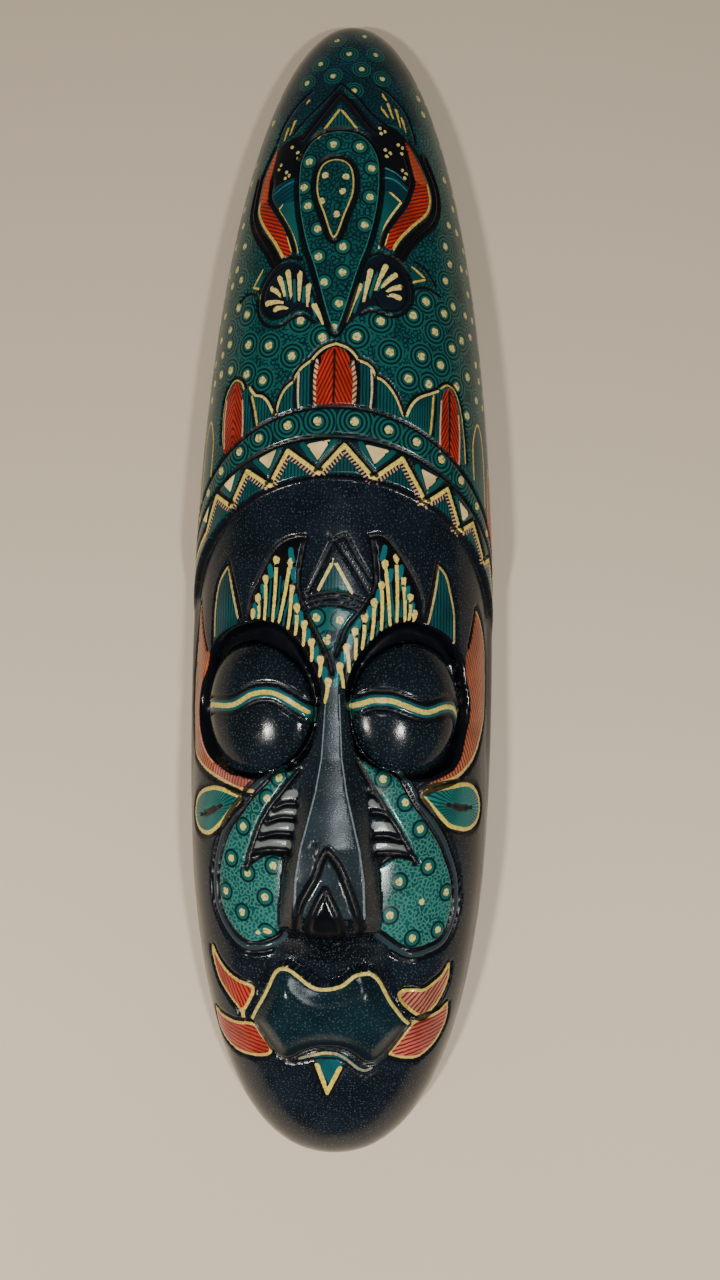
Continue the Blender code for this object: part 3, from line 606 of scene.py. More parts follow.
left_flame = [(-80, -9), (-84, -22), (-86.6, -35), (-87.6, -50), (-86, -62), (-80.8, -72.6),
              (-72.5, -76.5), (-64.5, -79.1), (-59, -80.5), (-50, -82.7), (-44, -84.4),
              (-36, -85)]
right_flame = [(68.5, -10), (74.5, -16), (81, -28), (82.6, -44), (80.3, -55), (76, -61.6),
               (68, -71.1), (60.4, -76.2), (53.5, -79.4), (43.5, -81.4), (36, -83.2)]
stroke(left_flame, FLAME_GOLD, 1.0, 1.6)
stroke(right_flame, FLAME_GOLD, 1.0, 1.8)
groove(left_flame, 2.0, 1.3, gap=-1.8)
groove(right_flame, 2.0, 1.3, gap=1.8)
groove([(-80, -8), (-74.5, -21), (-69.3, -29)], 2.0, 1.3)
groove([(68.5, -9), (66, -17), (62.5, -26)], 2.0, 1.3)
stroke([(-60, -75.6), (-66, -72.4), (-72, -67.5), (-76.6, -61)], (0.45, 0.25, 0.16), 0.8)

# Nose: a long straight ridge with a flat front, which widens to the nostrils, with two
# chevrons cut into its tip. Carved from the same blank, dark and glossy.
NOSE_RISE = 0.00895
NOSE_Y = (-150, -143, -138, -131, -116, -104, -96, -83, -70, -45, -20)
NOSE_FRONT = (13.5, 13.2, 13, 12.4, 11.8, 10.3, 8.6, 5.8, 3.9, 2.6, 2.4)
NOSE_FOOT = (22, 21.2, 20.8, 20.4, 19.3, 17.2, 15.6, 12.8, 9.5, 5.0, 3.0)
NOSE_SHARE = (-0.45, 0.02, 0.45, 0.88, 1.0, 0.88, 0.68, 0.38, 0.12, -0.12, -0.31)
nose_left = [(midline(y) - half, y) for y, half in zip(NOSE_Y, NOSE_FOOT)]
nose_right = [(midline(y) + half, y) for y, half in zip(NOSE_Y, NOSE_FOOT)]
area(nose_left[1:] + nose_right[1:][::-1], (0.0060, 0.0100, 0.0150), STIPPLE, straight=True)
front_left = [(midline(y) - half, y) for y, half in zip(NOSE_Y, NOSE_FRONT)][3:]
front_right = [(midline(y) + half, y) for y, half in zip(NOSE_Y, NOSE_FRONT)][3:]
# The flat front is painted a lighter grey than the nose's sides: a painted sheen for the light
# its upward face catches.
area(front_left + front_right[::-1], (0.0140, 0.0220, 0.0280), STIPPLE, straight=True)
# Thin light lines along both front edges are painted highlights, for the gloss on the rounded
# edges.
for edge in (front_left[:-1], front_right[:-1]):
    stroke(edge, (0.150, 0.185, 0.200), 0.9, 0.4, straight=True)
# The underside of the nose tip is painted black with stipple, darker than the ground: painted
# shade where it faces away from the light.
area([(-15, -131), (9, -131), (12, -133), (17, -138), (19, -150), (-3, -153), (-24, -150),
      (-22, -138), (-18, -133)], BLACK, STIPPLE, straight=True)
groove([(-3.3, -104.6), (-5.5, -109.5), (-6.8, -114), (-9.4, -119.6), (-12, -125),
        (-13.4, -130.6), (-14.6, -138)], 3.6, 2.1)
groove([(-3.3, -104.6), (1, -110.4), (4.6, -119), (7.4, -127.8), (8.6, -132.6), (9.4, -139)],
       3.6, 2.1)
groove([(-3.5, -119.2), (-5.8, -124), (-7.8, -129), (-9.4, -134), (-10.2, -141)], 3.0, 1.8)
groove([(-3.5, -119.2), (-0.8, -125.6), (1.0, -130), (2.4, -134.6), (3.0, -141)], 3.0, 1.8)
area([(-3.5, -123), (-8.6, -134), (-9.6, -142), (2.6, -142), (1.6, -134)], BLACK, straight=True)
groove([(-7.4, -101), (-7.6, -105), (-7.2, -109.5)], 1.4, 1.0)

# Cheeks: a teal panel with light curls and dots on each, framed by a double groove, with
# carved rungs beside the nose. Under each eye sits an ear-shaped petal with a black slit.
PANEL = (0.0035, 0.0620, 0.0570)
left_outer = [(-17.3, -75.5), (-23, -77.4), (-28, -79.7), (-30.8, -82.7), (-35.6, -87.3),
              (-40.2, -93.1), (-44.5, -98.3), (-48.2, -103.9), (-50.8, -110), (-52.5, -116),
              (-53.3, -121.8), (-53.3, -127.3), (-52.3, -132.5), (-49.6, -137.3),
              (-45.4, -141.8), (-41.8, -144.5), (-37.6, -146), (-33.7, -146.3),
              (-29.3, -145), (-25.2, -142.7), (-23.4, -140.6)]
left_inner = [(-23.4, -140.6), (-23.5, -135.5), (-23.7, -130.3), (-23.3, -125.3),
              (-22.7, -120), (-22.6, -114.8), (-22, -110), (-26.4, -109.5), (-30.8, -111),
              (-34.4, -113.6), (-38.8, -116.3), (-38.2, -111.2), (-37, -107.4),
              (-35.6, -103.6), (-33.6, -98), (-31.3, -93.8), (-28.3, -89), (-24.8, -85),
              (-21.5, -80.5)]
right_outer = [(9.5, -70.5), (15, -74), (20.5, -75.6), (25, -78.3), (28.7, -84),
               (31.8, -89.3), (35.3, -93.4), (39, -98.2), (42, -102.3), (45, -106.8),
               (47.2, -111.8), (49.5, -116.4), (51.5, -122.2), (52.3, -127.6),
               (52.3, -133.2), (50.7, -138.2), (48.7, -142.2), (45.3, -145.3),
               (39.8, -146.6), (35, -147.4), (30.8, -147.2), (27.2, -145.2), (23.2, -142.2),
               (18.2, -138.3)]
right_inner = [(18.2, -138.3), (18.8, -134.3), (19, -129), (18.9, -124), (18.2, -119),
               (17.5, -114), (18.3, -112.3), (22.2, -110.2), (26, -109.8), (30, -110.8),
               (33.6, -112.8), (34, -111.2), (32, -108), (29, -103), (26.6, -99),
               (23.2, -93.9), (19.3, -87.8), (15.5, -82), (12, -76)]
area(left_outer + left_inner, PANEL, LIGHT_CURLS, straight=True)
area(right_outer + right_inner, PANEL, LIGHT_CURLS, straight=True)
rib_left = curve(left_outer[2:])
rib_right = curve(right_outer[3:])
# A grey-teal strip along the rib between the double grooves is a painted highlight on the rounded
# rib.
bands.append((beside(rib_left, -2.6), 1.2, 1.2, (0.018, 0.032, 0.040)))
bands.append((beside(rib_right, 2.6), 1.2, 1.2, (0.018, 0.032, 0.040)))
groove(left_outer[2:], 2.0, 1.5, gap=-0.6)
groove(right_outer[3:], 2.0, 1.5, gap=0.6)
groove(left_outer[3:-2], 2.2, 1.5, gap=-4.9)
groove(right_outer[4:-2], 2.2, 1.5, gap=4.9)
groove(left_inner[6:11], 2.0, 1.3, gap=-0.8)
groove(right_inner[6:11], 2.0, 1.3, gap=0.8)
groove(left_inner[10:] + [(-17, -75)], 2.6, 1.6, gap=-1.0)
groove(right_inner[10:] + [(8.5, -70.5)], 2.6, 1.6, gap=1.0)
sprinkle([(-24.3, -78.8), (-29.3, -87.2), (-40.2, -99.5), (-46, -113.2), (-48.8, -127.3),
          (-37.3, -118), (-25.7, -113.7), (-29, -126.8), (-39.8, -134.5), (-28.5, -141),
          (18.5, -78.2), (28, -87.8), (34.8, -98.8), (38.7, -114.3), (25.7, -119.2),
          (48.3, -126.1), (22, -132.6), (44.5, -141.3), (32, -143)], 1.6, 1.0)
sprinkle([(36, -128.3)], 1.4, 0.0)
sprinkle([(-32.3, -141.8)], 1.0, 0.0)

# Rungs beside the nose. The raised rungs are painted pale grey, a painted highlight for the light
# they catch, between the dark grooves.
RUNG_HIGHLIGHT = (0.120, 0.136, 0.134)
for y, inner, outer in ((-84.6, -17.5, -21.5), (-91.5, -17.8, -26.5), (-97.6, -18.3, -30.5),
                        (-104.6, -19, -33.5)):
    band([(inner, y), ((inner + outer) / 2, y - 0.4), (outer, y - 1.6)], RUNG_HIGHLIGHT, 3.4)
for y, inner, outer in ((-89, -17.3, -26), (-94.6, -17.8, -29), (-101, -18.4, -31.8),
                        (-107.6, -19.4, -35.5)):
    groove([(inner, y), ((inner + outer) / 2, y - 0.1), (outer, y - 2.2)], 3.3, 1.8)
for y, inner, outer in ((-82, 13.6, 16.4), (-87.6, 14, 19.6), (-96.5, 15.2, 24.4),
                        (-105, 16, 29)):
    band([(inner, y), ((inner + outer) / 2, y - 0.4), (outer, y - 1.6)], RUNG_HIGHLIGHT, 3.2)
for y, inner, outer in ((-84.2, 13.2, 16.8), (-91.6, 14, 21.4), (-101, 15.6, 26),
                        (-107.8, 16.4, 31.5)):
    groove([(inner, y), ((inner + outer) / 2, y - 0.1), (outer, y - 2.0)], 3.3, 1.8)

# Ear petals
RAYS = 54
for petal, slit, centre in (
        ([(-42.7, -88.4), (-48.6, -86.5), (-55.6, -85.7), (-61, -86.4), (-68.5, -88.8),
          (-74, -92.5), (-76, -96.2), (-76, -100.1), (-73, -103.5), (-68.3, -105.3),
          (-61.5, -105.1), (-56.5, -102.5), (-52, -98.8), (-47.2, -93.4)],
         [(-68.8, -98.6), (-62, -96.6), (-52.8, -92.5)], (-60, -95.8)),
        ([(36, -85.4), (39.6, -84.1), (45.7, -83.2), (52.6, -82.9), (59.5, -82.7),
          (64.8, -84), (69.3, -86.8), (72.5, -91.1), (72.8, -95), (70.8, -98.5),
          (67, -100.7), (60.8, -101.6), (54.5, -100.3), (49.3, -98.4), (44.2, -93.8),
          (40, -89.8)], [(48.5, -90), (57, -92.2), (65, -93)], (57, -92))):
    area(petal, (0.0080, 0.1350, 0.1200), hatch=rays(centre, RAYS), ink=(0.0014, 0.0260, 0.0320))
    side = 1 if centre[0] > 0 else -1
    groove(petal, 2.0, 1.4, closed=True, gap=1.9 * side)
    stroke(petal, (0.56, 0.43, 0.08), 1.8, closed=True)
    groove(slit, 1.7, 1.1)
    groove([((slit[0][0] + slit[1][0]) / 2, (slit[0][1] + slit[1][1]) / 2), slit[1],
            ((slit[2][0] + slit[1][0]) / 2, (slit[2][1] + slit[1][1]) / 2)], 3.0, 1.3)

# Mouth and chin: full lips in a shallow recess, gold along the upper edge, with two painted
# flames at each corner of the mouth and a small mark on the chin.
LIP_RISE = 0.0048
LIP_LEDGE = 0.0010
MOUTH_RECESS = 0.0042
lip_top = curve([(-36.2, -179.4), (-35.3, -178.3), (-32.5, -172.8), (-29.3, -167), (-27, -162),
                 (-25.3, -158), (-23.2, -155), (-20, -153.8), (-16.7, -154.7), (-14, -156.5),
                 (-11.3, -158.6), (-8, -160.7), (-4.7, -161.3), (-1, -160.9), (2.8, -159.6),
                 (5.3, -157.5), (7.7, -155.6), (10.8, -154.8), (14.1, -154.8),
                 (16.8, -156.5), (18.8, -159), (21, -163.2), (23.2, -167.6),
                 (26.2, -171.9), (29.2, -176.1), (32.2, -179)])
lip_foot = curve([(-36.2, -179.4), (-33.5, -180), (-25.2, -190.2), (-22.3, -192.5),
                  (-19.6, -193.5), (-16.6, -192.5), (-12.6, -189.6), (-7.2, -187.3),
                  (-1.9, -186.5), (2.7, -187.1), (6, -188.3), (10, -191.2), (13.3, -194),
                  (16.6, -194), (19.8, -192), (23.2, -188.7), (26, -185.5), (29, -181.9),
                  (32.2, -179)])
lip_loop = np.vstack([lip_top, lip_foot[::-1][1:]])
areas.append((lip_loop, (0.0022, 0.0115, 0.0165), STIPPLE, None, BLACK))
strokes.append((beside(lip_top, -0.95), 0.75, 0.75, (0.52, 0.41, 0.10)))
# A dark strip along the foot of the lower lip is painted shade, where the lip turns under.
band(lip_foot[::4], (0.0018, 0.0060, 0.0100), 3.4, straight=True, gap=2.0)
grooves.append((beside(lip_foot, -0.9), 1.1, 1.2))
area([(-8, -190), (6.4, -190.4), (2.8, -197), (-1.4, -204.5), (-5.8, -196.5)],
     (0.004, 0.060, 0.070), straight=True)
stroke([(-13.8, -193.4), (-8.5, -191.4), (-3.3, -190), (1.3, -190.4), (4.6, -192.2),
        (7.9, -195.1), (9.9, -197), (13.2, -198.4), (15.9, -197.3)], (0.20, 0.19, 0.13), 1.2)
stroke([(-8.5, -191.4), (-3.3, -190), (1.6, -190.4)], (0.42, 0.34, 0.12), 1.3)
stroke([(-6.5, -195.8), (-2.2, -208.5)], (0.56, 0.42, 0.07), 2.2, straight=True)
stroke([(2.8, -197), (-2.2, -208.5)], (0.56, 0.42, 0.07), 2.2, straight=True)
groove([(-8.4, -195.5), (-3.2, -210.5)], 1.5, 1.0, straight=True)
groove([(4.8, -196.5), (-1.4, -210.5)], 1.5, 1.0, straight=True)
groove([(-20, -196), (-14.5, -195.4), (-9, -193.6), (-3, -192.4), (2, -192.8), (6.5, -195.8),
        (10, -199.2), (14.5, -200.6), (19.5, -198)], 1.2, 0.8)

# Flames at the corners of the mouth
MOUTH_RED = (0.340, 0.034, 0.018)
MOUTH_DARK = (0.085, 0.006, 0.005)
upper_left = [(-59.5, -153.5), (-59.3, -157), (-57.3, -162.3), (-54.3, -167.3), (-50, -170.9),
              (-46, -173.9), (-43, -175.9), (-41, -178.7), (-39.5, -182), (-40.3, -177.8),
              (-38.2, -173.9), (-35.7, -168.2), (-36.5, -165.6), (-42.6, -164.3),
              (-48.3, -162.5), (-54.5, -158.6)]
lower_left = [(-61.5, -183), (-57, -184), (-49.8, -184.1), (-44, -183.8), (-37, -182.1),
              (-33.6, -182.4), (-30.7, -186), (-27.5, -189.6), (-26.3, -192.1),
              (-28.2, -194.2), (-33.8, -196), (-39.6, -196.8), (-45.5, -197),
              (-51.3, -195.9), (-57, -194), (-60.5, -190.4)]
upper_right = [(52.3, -157.7), (48.7, -161.7), (44.2, -164), (39, -166.1), (34.3, -165.7),
               (30, -165.7), (28, -167.7), (30.2, -171.5), (34.5, -175.6), (37, -177.2),
               (39.2, -177.7), (42.6, -176.1), (46.5, -173.2), (50, -168.7), (52.5, -163.4)]
lower_right = [(53.5, -176), (49.8, -177.7), (45, -178.8), (39.7, -178.9), (33.6, -180.2),
               (30.9, -183.4), (26.4, -188.2), (23.7, -192), (30.5, -195), (37.2, -196.2),
               (42.5, -194.6), (47, -192), (51.4, -187.6), (54, -182.5)]
for flame, hatch, colour in ((upper_left, lines_at(-62, 1.8), MOUTH_RED),
                             (lower_left, lines_at(-4, 1.8), MOUTH_RED),
                             (upper_right, lines_at(48, 1.8), (0.36, 0.14, 0.09)),
                             (lower_right, lines_at(6, 1.8), (0.38, 0.075, 0.055))):
    area(flame, colour, straight=True, hatch=hatch, ink=MOUTH_DARK)
    stroke(flame, (0.50, 0.34, 0.07), 1.35, closed=True)
groove(upper_left[:8], 1.8, 1.2, gap=-1.6)
groove(upper_left[11:] + upper_left[:1], 1.8, 1.2, gap=-1.6)
groove(lower_left[:5], 1.6, 1.1, gap=1.6)
groove(lower_left[8:] + lower_left[:1], 1.8, 1.2, gap=1.6)
groove(upper_right[:6], 1.8, 1.2, gap=-1.6)
groove(upper_right[8:] + upper_right[:1], 1.8, 1.2, gap=-1.6)
groove(lower_right[:5], 1.6, 1.1, gap=-1.6)
groove(lower_right[7:] + lower_right[:1], 1.8, 1.2, gap=-1.6)

# The carved skin: a sheet ruled over the blank, divided finer along the cuts, pressed into
# the carving and bent over the bulging form. It keeps the solid's form, but the underside
# of the nose falls away more gently.
COLUMNS = 108
ROWS = 312
FACE_DROP = 0.0028
STEP_RUN = 1.6
LIP_WALL_RUN = 1.2
FADE_FROM, FADE_OVER, SIDE_FADE = -135, 100, 14
NOSE_FOOT_Y, NOSE_ROOT_Y = -150, -20
BOWL_REACH, BOWL_RUN = 17, 6
BOWL_HALF, BOWL_SIDE_RUN = 41, 18
BOWL_LOW, BOWL_HIGH = -180, -131
LIP_SWELL_RUN = 10
GROOVE_SIDE = 0.15


def distances(points, line):
    """Signed distance, place along and whether beyond an end, from points to a line."""
    a, b = line[:-1], line[1:]
    ab = b - a
    length2 = np.maximum((ab ** 2).sum(1), 1e-12)
    ap = points[:, None, :] - a[None]
    t = (ap * ab[None]).sum(2) / length2
    t = np.clip(t, 0, 1)
    gap = ap - t[..., None] * ab[None]
    far = np.hypot(gap[..., 0], gap[..., 1])
    near = far.argmin(1)
    row = np.arange(len(points))
    turn = ab[near, 0] * ap[row, near, 1] - ab[near, 1] * ap[row, near, 0]
    along = (near + t[row, near]) / len(a)
    ended = ((near == 0) & (t[row, near] <= 0)) | ((near == len(a) - 1) & (t[row, near] >= 1))
    if np.hypot(*(line[0] - line[-1])) < 1e-6:
        ended[:] = False
    return far[row, near] * np.where(turn < 0, -1, 1), along, ended


def close_to(points, line, reach):
    """Indices of the points within the line's box widened by a reach."""
    low, high = line.min(0) - reach, line.max(0) + reach
    return np.nonzero(((points >= low) & (points <= high)).all(1))[0]


def nearest(points, lines, reach=3.0):
    """Distance from each point to the nearest of some lines, up to a reach."""
    best = np.full(len(points), 99.0)
    for line in lines:
        some = close_to(points, line, reach)
        if len(some):
            best[some] = np.minimum(best[some], np.abs(distances(points[some], line)[0]))
    return best


def inside(points, loop):
    """True for the points within a closed line."""
    found = np.zeros(len(points), bool)
    some = close_to(points, loop, 0)
    p = points[some]
    hit = np.zeros(len(p), bool)
    for a, b in zip(loop[:-1], loop[1:]):
        if a[1] != b[1]:
            level = (p[:, 1] > a[1]) != (p[:, 1] > b[1])
            cross = a[0] + (p[:, 1] - a[1]) * (b[0] - a[0]) / (b[1] - a[1])
            hit ^= level & (p[:, 0] < cross)
    found[some] = hit
    return found


def carving(points):
    """Height of the carved surface over the blank, in metres."""
    s, y = points[:, 0], points[:, 1]
    m = np.abs(s - midline(y))
    fade = smooth((y - FADE_FROM) / FADE_OVER) * smooth((GIRTH - np.abs(s)) / SIDE_FADE)
    h = -FACE_DROP * smooth((brow_edge(m) - y) / STEP_RUN + 0.5) * fade
    base = h.copy()
    for socket, (centre, half) in zip(SOCKETS, EYES):
        down = np.where(inside(points, socket),
                        smooth(nearest(points, [socket], 30) / SOCKET_RUN), 0)
        h = h * (1 - down) - SOCKET_DEPTH * down
        radius = np.hypot((s - centre[0]) / half[0], (y - centre[1]) / half[1])
        dome = -SOCKET_DEPTH + (SOCKET_DEPTH + EYE_RISE) * np.sqrt(np.clip(1 - radius ** 2, 0, 1))
        h = np.where(radius < 1, np.maximum(h, dome), h)
    order = np.array(NOSE_Y, float)
    front = np.interp(y, order, NOSE_FRONT)
    foot = np.interp(y, order, NOSE_FOOT)
    top = np.interp(y, order, NOSE_SHARE) * NOSE_RISE
    slope = np.clip((foot - m) / (foot - front), 0, 1)
    on_nose = (m < foot) & (y < NOSE_ROOT_Y) & (y > NOSE_FOOT_Y)
    h = np.where(on_nose, np.maximum(h, np.minimum(h, base) * (1 - slope) + top * slope), h)
    to_lips = nearest(points, [lip_loop], 30)
    in_lips = inside(points, lip_loop) | (to_lips < LIP_WALL_RUN / 4)
    bowl = (smooth((BOWL_REACH - nearest(points, [lip_top], 20)) / BOWL_RUN)
            * smooth((BOWL_HALF - m) / BOWL_SIDE_RUN))
    above = (~in_lips) & (y > BOWL_LOW) & (y < BOWL_HIGH)
    h = np.where(above, np.minimum(h, h * (1 - bowl) - MOUTH_RECESS * bowl), h)
    swell = LIP_LEDGE + (LIP_RISE - LIP_LEDGE) * smooth(to_lips / LIP_SWELL_RUN)
    h = np.where(in_lips, swell, h)
    cut = np.zeros(len(points))
    for line, half, depth in grooves:
        some = close_to(points, line, half + 0.2)
        if len(some):
            gap, _, _ = distances(points[some], line)
            share = 1 - smooth(np.abs(gap) / (half + GROOVE_SIDE))
            cut[some] = np.maximum(cut[some], depth * 0.001 * share)
    return h - cut


def flat_places(bm):
    """Places of the sheet's vertices on the girth."""
    return np.array([(v.co.x, v.co.y) for v in bm.verts])


crest_y = np.linspace(-HALF_LENGTH, HALF_LENGTH, 20001)
crest_z = DEPTH * 1000 * end_share(crest_y)
crest_run = np.concatenate([[0], np.cumsum(np.hypot(np.diff(crest_y), np.diff(crest_z)))])

skin = bmesh.new()
bmesh.ops.create_grid(skin, x_segments=COLUMNS, y_segments=ROWS, size=1.0)
spread = max(v.co.x for v in skin.verts)
for v in skin.verts:
    share = (v.co.y / spread + 1) / 2
    y = float(np.interp(share * crest_run[-1], crest_run, crest_y))
    v.co = (v.co.x / spread * GIRTH * float(end_share(np.array(y))), y, 0)
bmesh.ops.remove_doubles(skin, verts=skin.verts[:], dist=0.001)

# Finer cells along the grooves and edges
edges_cut = [g[0] for g in grooves] + SOCKETS + [lip_loop]
for centre, half in EYES:
    turns = np.linspace(0, 2 * math.pi, 65)
    edges_cut.append(np.stack([centre[0] + half[0] * 0.985 * np.cos(turns),
                               centre[1] + half[1] * 0.985 * np.sin(turns)], axis=1))
edges_cut.append(np.array([(s, brow_edge(s + 2.9)) for s in range(-96, 97, 4)], float))
for widths in (NOSE_FRONT, NOSE_FOOT):
    for side in (-1, 1):
        edges_cut.append(np.array([(midline(y) + side * w, y) for y, w in zip(NOSE_Y, widths)],
                                  float))
skin.faces.ensure_lookup_table()
centres = np.array([f.calc_center_median().xy for f in skin.faces])
gap_now = nearest(centres, edges_cut, 3.5)
FINE_REACH = 2.1
fine = {e for f, gap in zip(skin.faces, gap_now) if gap < FINE_REACH for e in f.edges}
bmesh.ops.subdivide_edges(skin, edges=list(fine), cuts=1, use_grid_fill=True)
for v in skin.verts:
    if v.is_boundary:
        full = GIRTH * float(end_share(np.array(v.co.y)))
        v.co.x = math.copysign(full, v.co.x) if abs(v.co.x) > 1e-6 else 0.0

# Vertices close to the middle of a groove or to an edge move onto it
snap_lines = edges_cut + [beside(lip_top, LIP_WALL_RUN * k) for k in (-1, 1)]
for shift in (-0.8, 0.8):
    snap_lines.append(np.array([(s, brow_edge(s + 3) + shift) for s in range(-98, 99, 3)]))
places = flat_places(skin)
rim_vertex = np.array([v.is_boundary for v in skin.verts])
SNAP_REACH = 0.36
best = np.full(len(places), SNAP_REACH)
moved = places.copy()
for line in snap_lines:
    some = close_to(places, line, 0.5)
    some = some[~rim_vertex[some]]
    if len(some):
        a, b = line[:-1], line[1:]
        ab = b - a
        ap = places[some][:, None, :] - a[None]
        t = np.clip((ap * ab[None]).sum(2) / np.maximum((ab ** 2).sum(1), 1e-12), 0, 1)
        foot_points = a[None] + t[..., None] * ab[None]
        far = np.hypot(*(np.moveaxis(places[some][:, None, :] - foot_points, 2, 0)))
        near = far.argmin(1)
        row = np.arange(len(some))
        gap = far[row, near]
        closer = gap < best[some]
        moved[some[closer]] = foot_points[row, near][closer]
        best[some[closer]] = gap[closer]
places = moved
heights = carving(places)
heights[rim_vertex] = 0.0
xs, ys, zs = over_blank(places[:, 0], places[:, 1], heights)
zs = np.where(rim_vertex, 0.0, np.maximum(zs, 0.0))
drawn_at = skin.verts.layers.float_vector.new("drawn_at")
for v, (s, t), x, y, z in zip(skin.verts, places, xs, ys, zs):
    v[drawn_at] = (s, t, 0)
    v.co = (float(x), float(y), float(z))

# Hollow: the back is dug out with a gouge, 10 mm in from the rim and to 18 mm under the
# crest of the uncarved blank, and left bare and stained.
# Its loops are drawn in from the rim of the skin, so that the mask is one closed piece.
RIM_WALL = 0.010
END_WALL = 0.016
FACE_WALL = 0.018
HOLLOW_LOOPS = 12
GOUGE_MARK = 0.0005

rim_edges = [e for e in skin.edges if e.is_boundary]
hollow_reach = (LENGTH / 2 - END_WALL) / (LENGTH / 2)
loop_edges = rim_edges
hollow_verts = []
bare_faces = []
for k in range(HOLLOW_LOOPS + 1):
    made = bmesh.ops.extrude_edge_only(skin, edges=loop_edges)
    fresh = [g for g in made["geom"] if isinstance(g, bmesh.types.BMVert)]
    loop_edges = [g for g in made["geom"] if isinstance(g, bmesh.types.BMEdge)
                  and g.is_boundary]
    bare_faces += [g for g in made["geom"] if isinstance(g, bmesh.types.BMFace)]
    turn = math.pi / 2 * k / HOLLOW_LOOPS
    for v in fresh:
        if k == 0:
            along_y = v.co.y / ALONG
        else:
            along_y = v.co.y / (ALONG * hollow_reach)
        along_y = min(max(along_y, -HALF_LENGTH), HALF_LENGTH)
        share = float(end_share(np.array(along_y)))
        side = math.copysign(1, v.co.x) if abs(v.co.x) > 1e-9 else 0
        dug = 0.0
        if 0 < k < HOLLOW_LOOPS:
            dug = GOUGE_MARK * math.sin(along_y * 0.31 + 2.1 * k) * math.sin(along_y * 0.113 + k)
        v.co = (side * (WIDTH / 2 - RIM_WALL) * share * math.cos(turn),
                along_y * ALONG * hollow_reach,
                (DEPTH - FACE_WALL + dug) * share * math.sin(turn))
        hollow_verts.append(v)
bmesh.ops.remove_doubles(skin, verts=hollow_verts, dist=0.00005)
bmesh.ops.dissolve_degenerate(skin, edges=skin.edges[:], dist=0.00001)
bmesh.ops.recalc_face_normals(skin, faces=skin.faces[:])
for f in skin.faces:
    f.smooth = True
    f.material_index = 0
for f in bare_faces:
    if f.is_valid:
        f.material_index = 1
skin.verts.ensure_lookup_table()
mask_mesh = bpy.data.meshes.new("mask_carved")
skin.verts.index_update()
skin.to_mesh(mask_mesh)
skin.free()
mask = bpy.data.objects.new("mask_carved", mask_mesh)
bpy.context.scene.collection.objects.link(mask)
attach(mask, "root")
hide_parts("mask")

# Paint: thin coats over the carving. Each face carries the colour of its ground, the
# distance to the nearest brushed line and groove, and the way to the nearest dot, so that
# the shader draws sharp edges on them.
UV_SPAN = 600.0
BARE_SHIFT = 400
EDGE_REACH = 1.5
LINE_REACH = 3.2
loop_total = len(mask_mesh.loops)
corner_vertex = np.empty(loop_total, int)
mask_mesh.loops.foreach_get("vertex_index", corner_vertex)
face_start = np.empty(len(mask_mesh.polygons), int)
face_size = np.empty(len(mask_mesh.polygons), int)
mask_mesh.polygons.foreach_get("loop_start", face_start)
mask_mesh.polygons.foreach_get("loop_total", face_size)
face_kind = np.empty(len(mask_mesh.polygons), int)
mask_mesh.polygons.foreach_get("material_index", face_kind)
corner_face = np.repeat(np.arange(len(face_start)), face_size)

drawn = np.empty(len(mask_mesh.vertices) * 3)
mask_mesh.attributes["drawn_at"].data.foreach_get("vector", drawn)
where = np.empty(len(mask_mesh.vertices) * 3)
mask_mesh.vertices.foreach_get("co", where)
corner_flat = drawn.reshape(-1, 3)[corner_vertex, :2]
hollow_corner = face_kind[corner_face] == 1
corner_flat[hollow_corner] = (where.reshape(-1, 3)[corner_vertex[hollow_corner], :2] * 1000
                              + (BARE_SHIFT, 0))
face_flat = np.add.reduceat(corner_flat, face_start) / face_size[:, None]

sheet_map = mask_mesh.uv_layers.new(name="girth")
on_map = (corner_flat + (100, HALF_LENGTH)) / UV_SPAN
sheet_map.data.foreach_set("uv", on_map.astype(np.float32).ravel())


def store(name, kind, values):
    """Write an attribute on the face corners."""
    layer = mask_mesh.attributes.new(name, kind, "CORNER")
    field = {"FLOAT": "value", "FLOAT_COLOR": "color", "FLOAT_VECTOR": "vector"}[kind]
    layer.data.foreach_set(field, values.astype(np.float32).ravel())


# Ground: the area on top at each face, and where an edge runs through it the one beside
top_area = np.full(len(face_flat), -1)
for k, (loop, *_) in enumerate(areas):
    top_area[inside(face_flat, loop)] = k
edge_gap = np.full(len(face_flat), EDGE_REACH)
edge_area = np.full(len(face_flat), -1)
for k, (loop, *_) in enumerate(areas):
    some = close_to(face_flat, loop, EDGE_REACH)
    some = some[top_area[some] <= k]
    if len(some):
        gap = np.abs(distances(face_flat[some], loop)[0])
        closer = gap < edge_gap[some]
        edge_gap[some[closer]] = gap[closer]
        edge_area[some[closer]] = k
over_area = np.where(edge_area >= 0, edge_area, top_area)
under_area = np.full(len(face_flat), -1)
for k, (loop, *_) in enumerate(areas):
    lower = inside(face_flat, loop) & (over_area != k) & ((edge_area < 0) | (k < over_area))
    under_area[lower] = k
under_area = np.where(edge_area >= 0, under_area, over_area)
edge_field = np.full(loop_total, 9.0)
corner_edge = edge_area[corner_face]
for k, (loop, *_) in enumerate(areas):
    corners = np.nonzero(corner_edge == k)[0]
    if len(corners):
        gap = np.abs(distances(corner_flat[corners], loop)[0])
        edge_field[corners] = np.where(inside(corner_flat[corners], loop), gap, -gap)
store("edge", "FLOAT", edge_field)


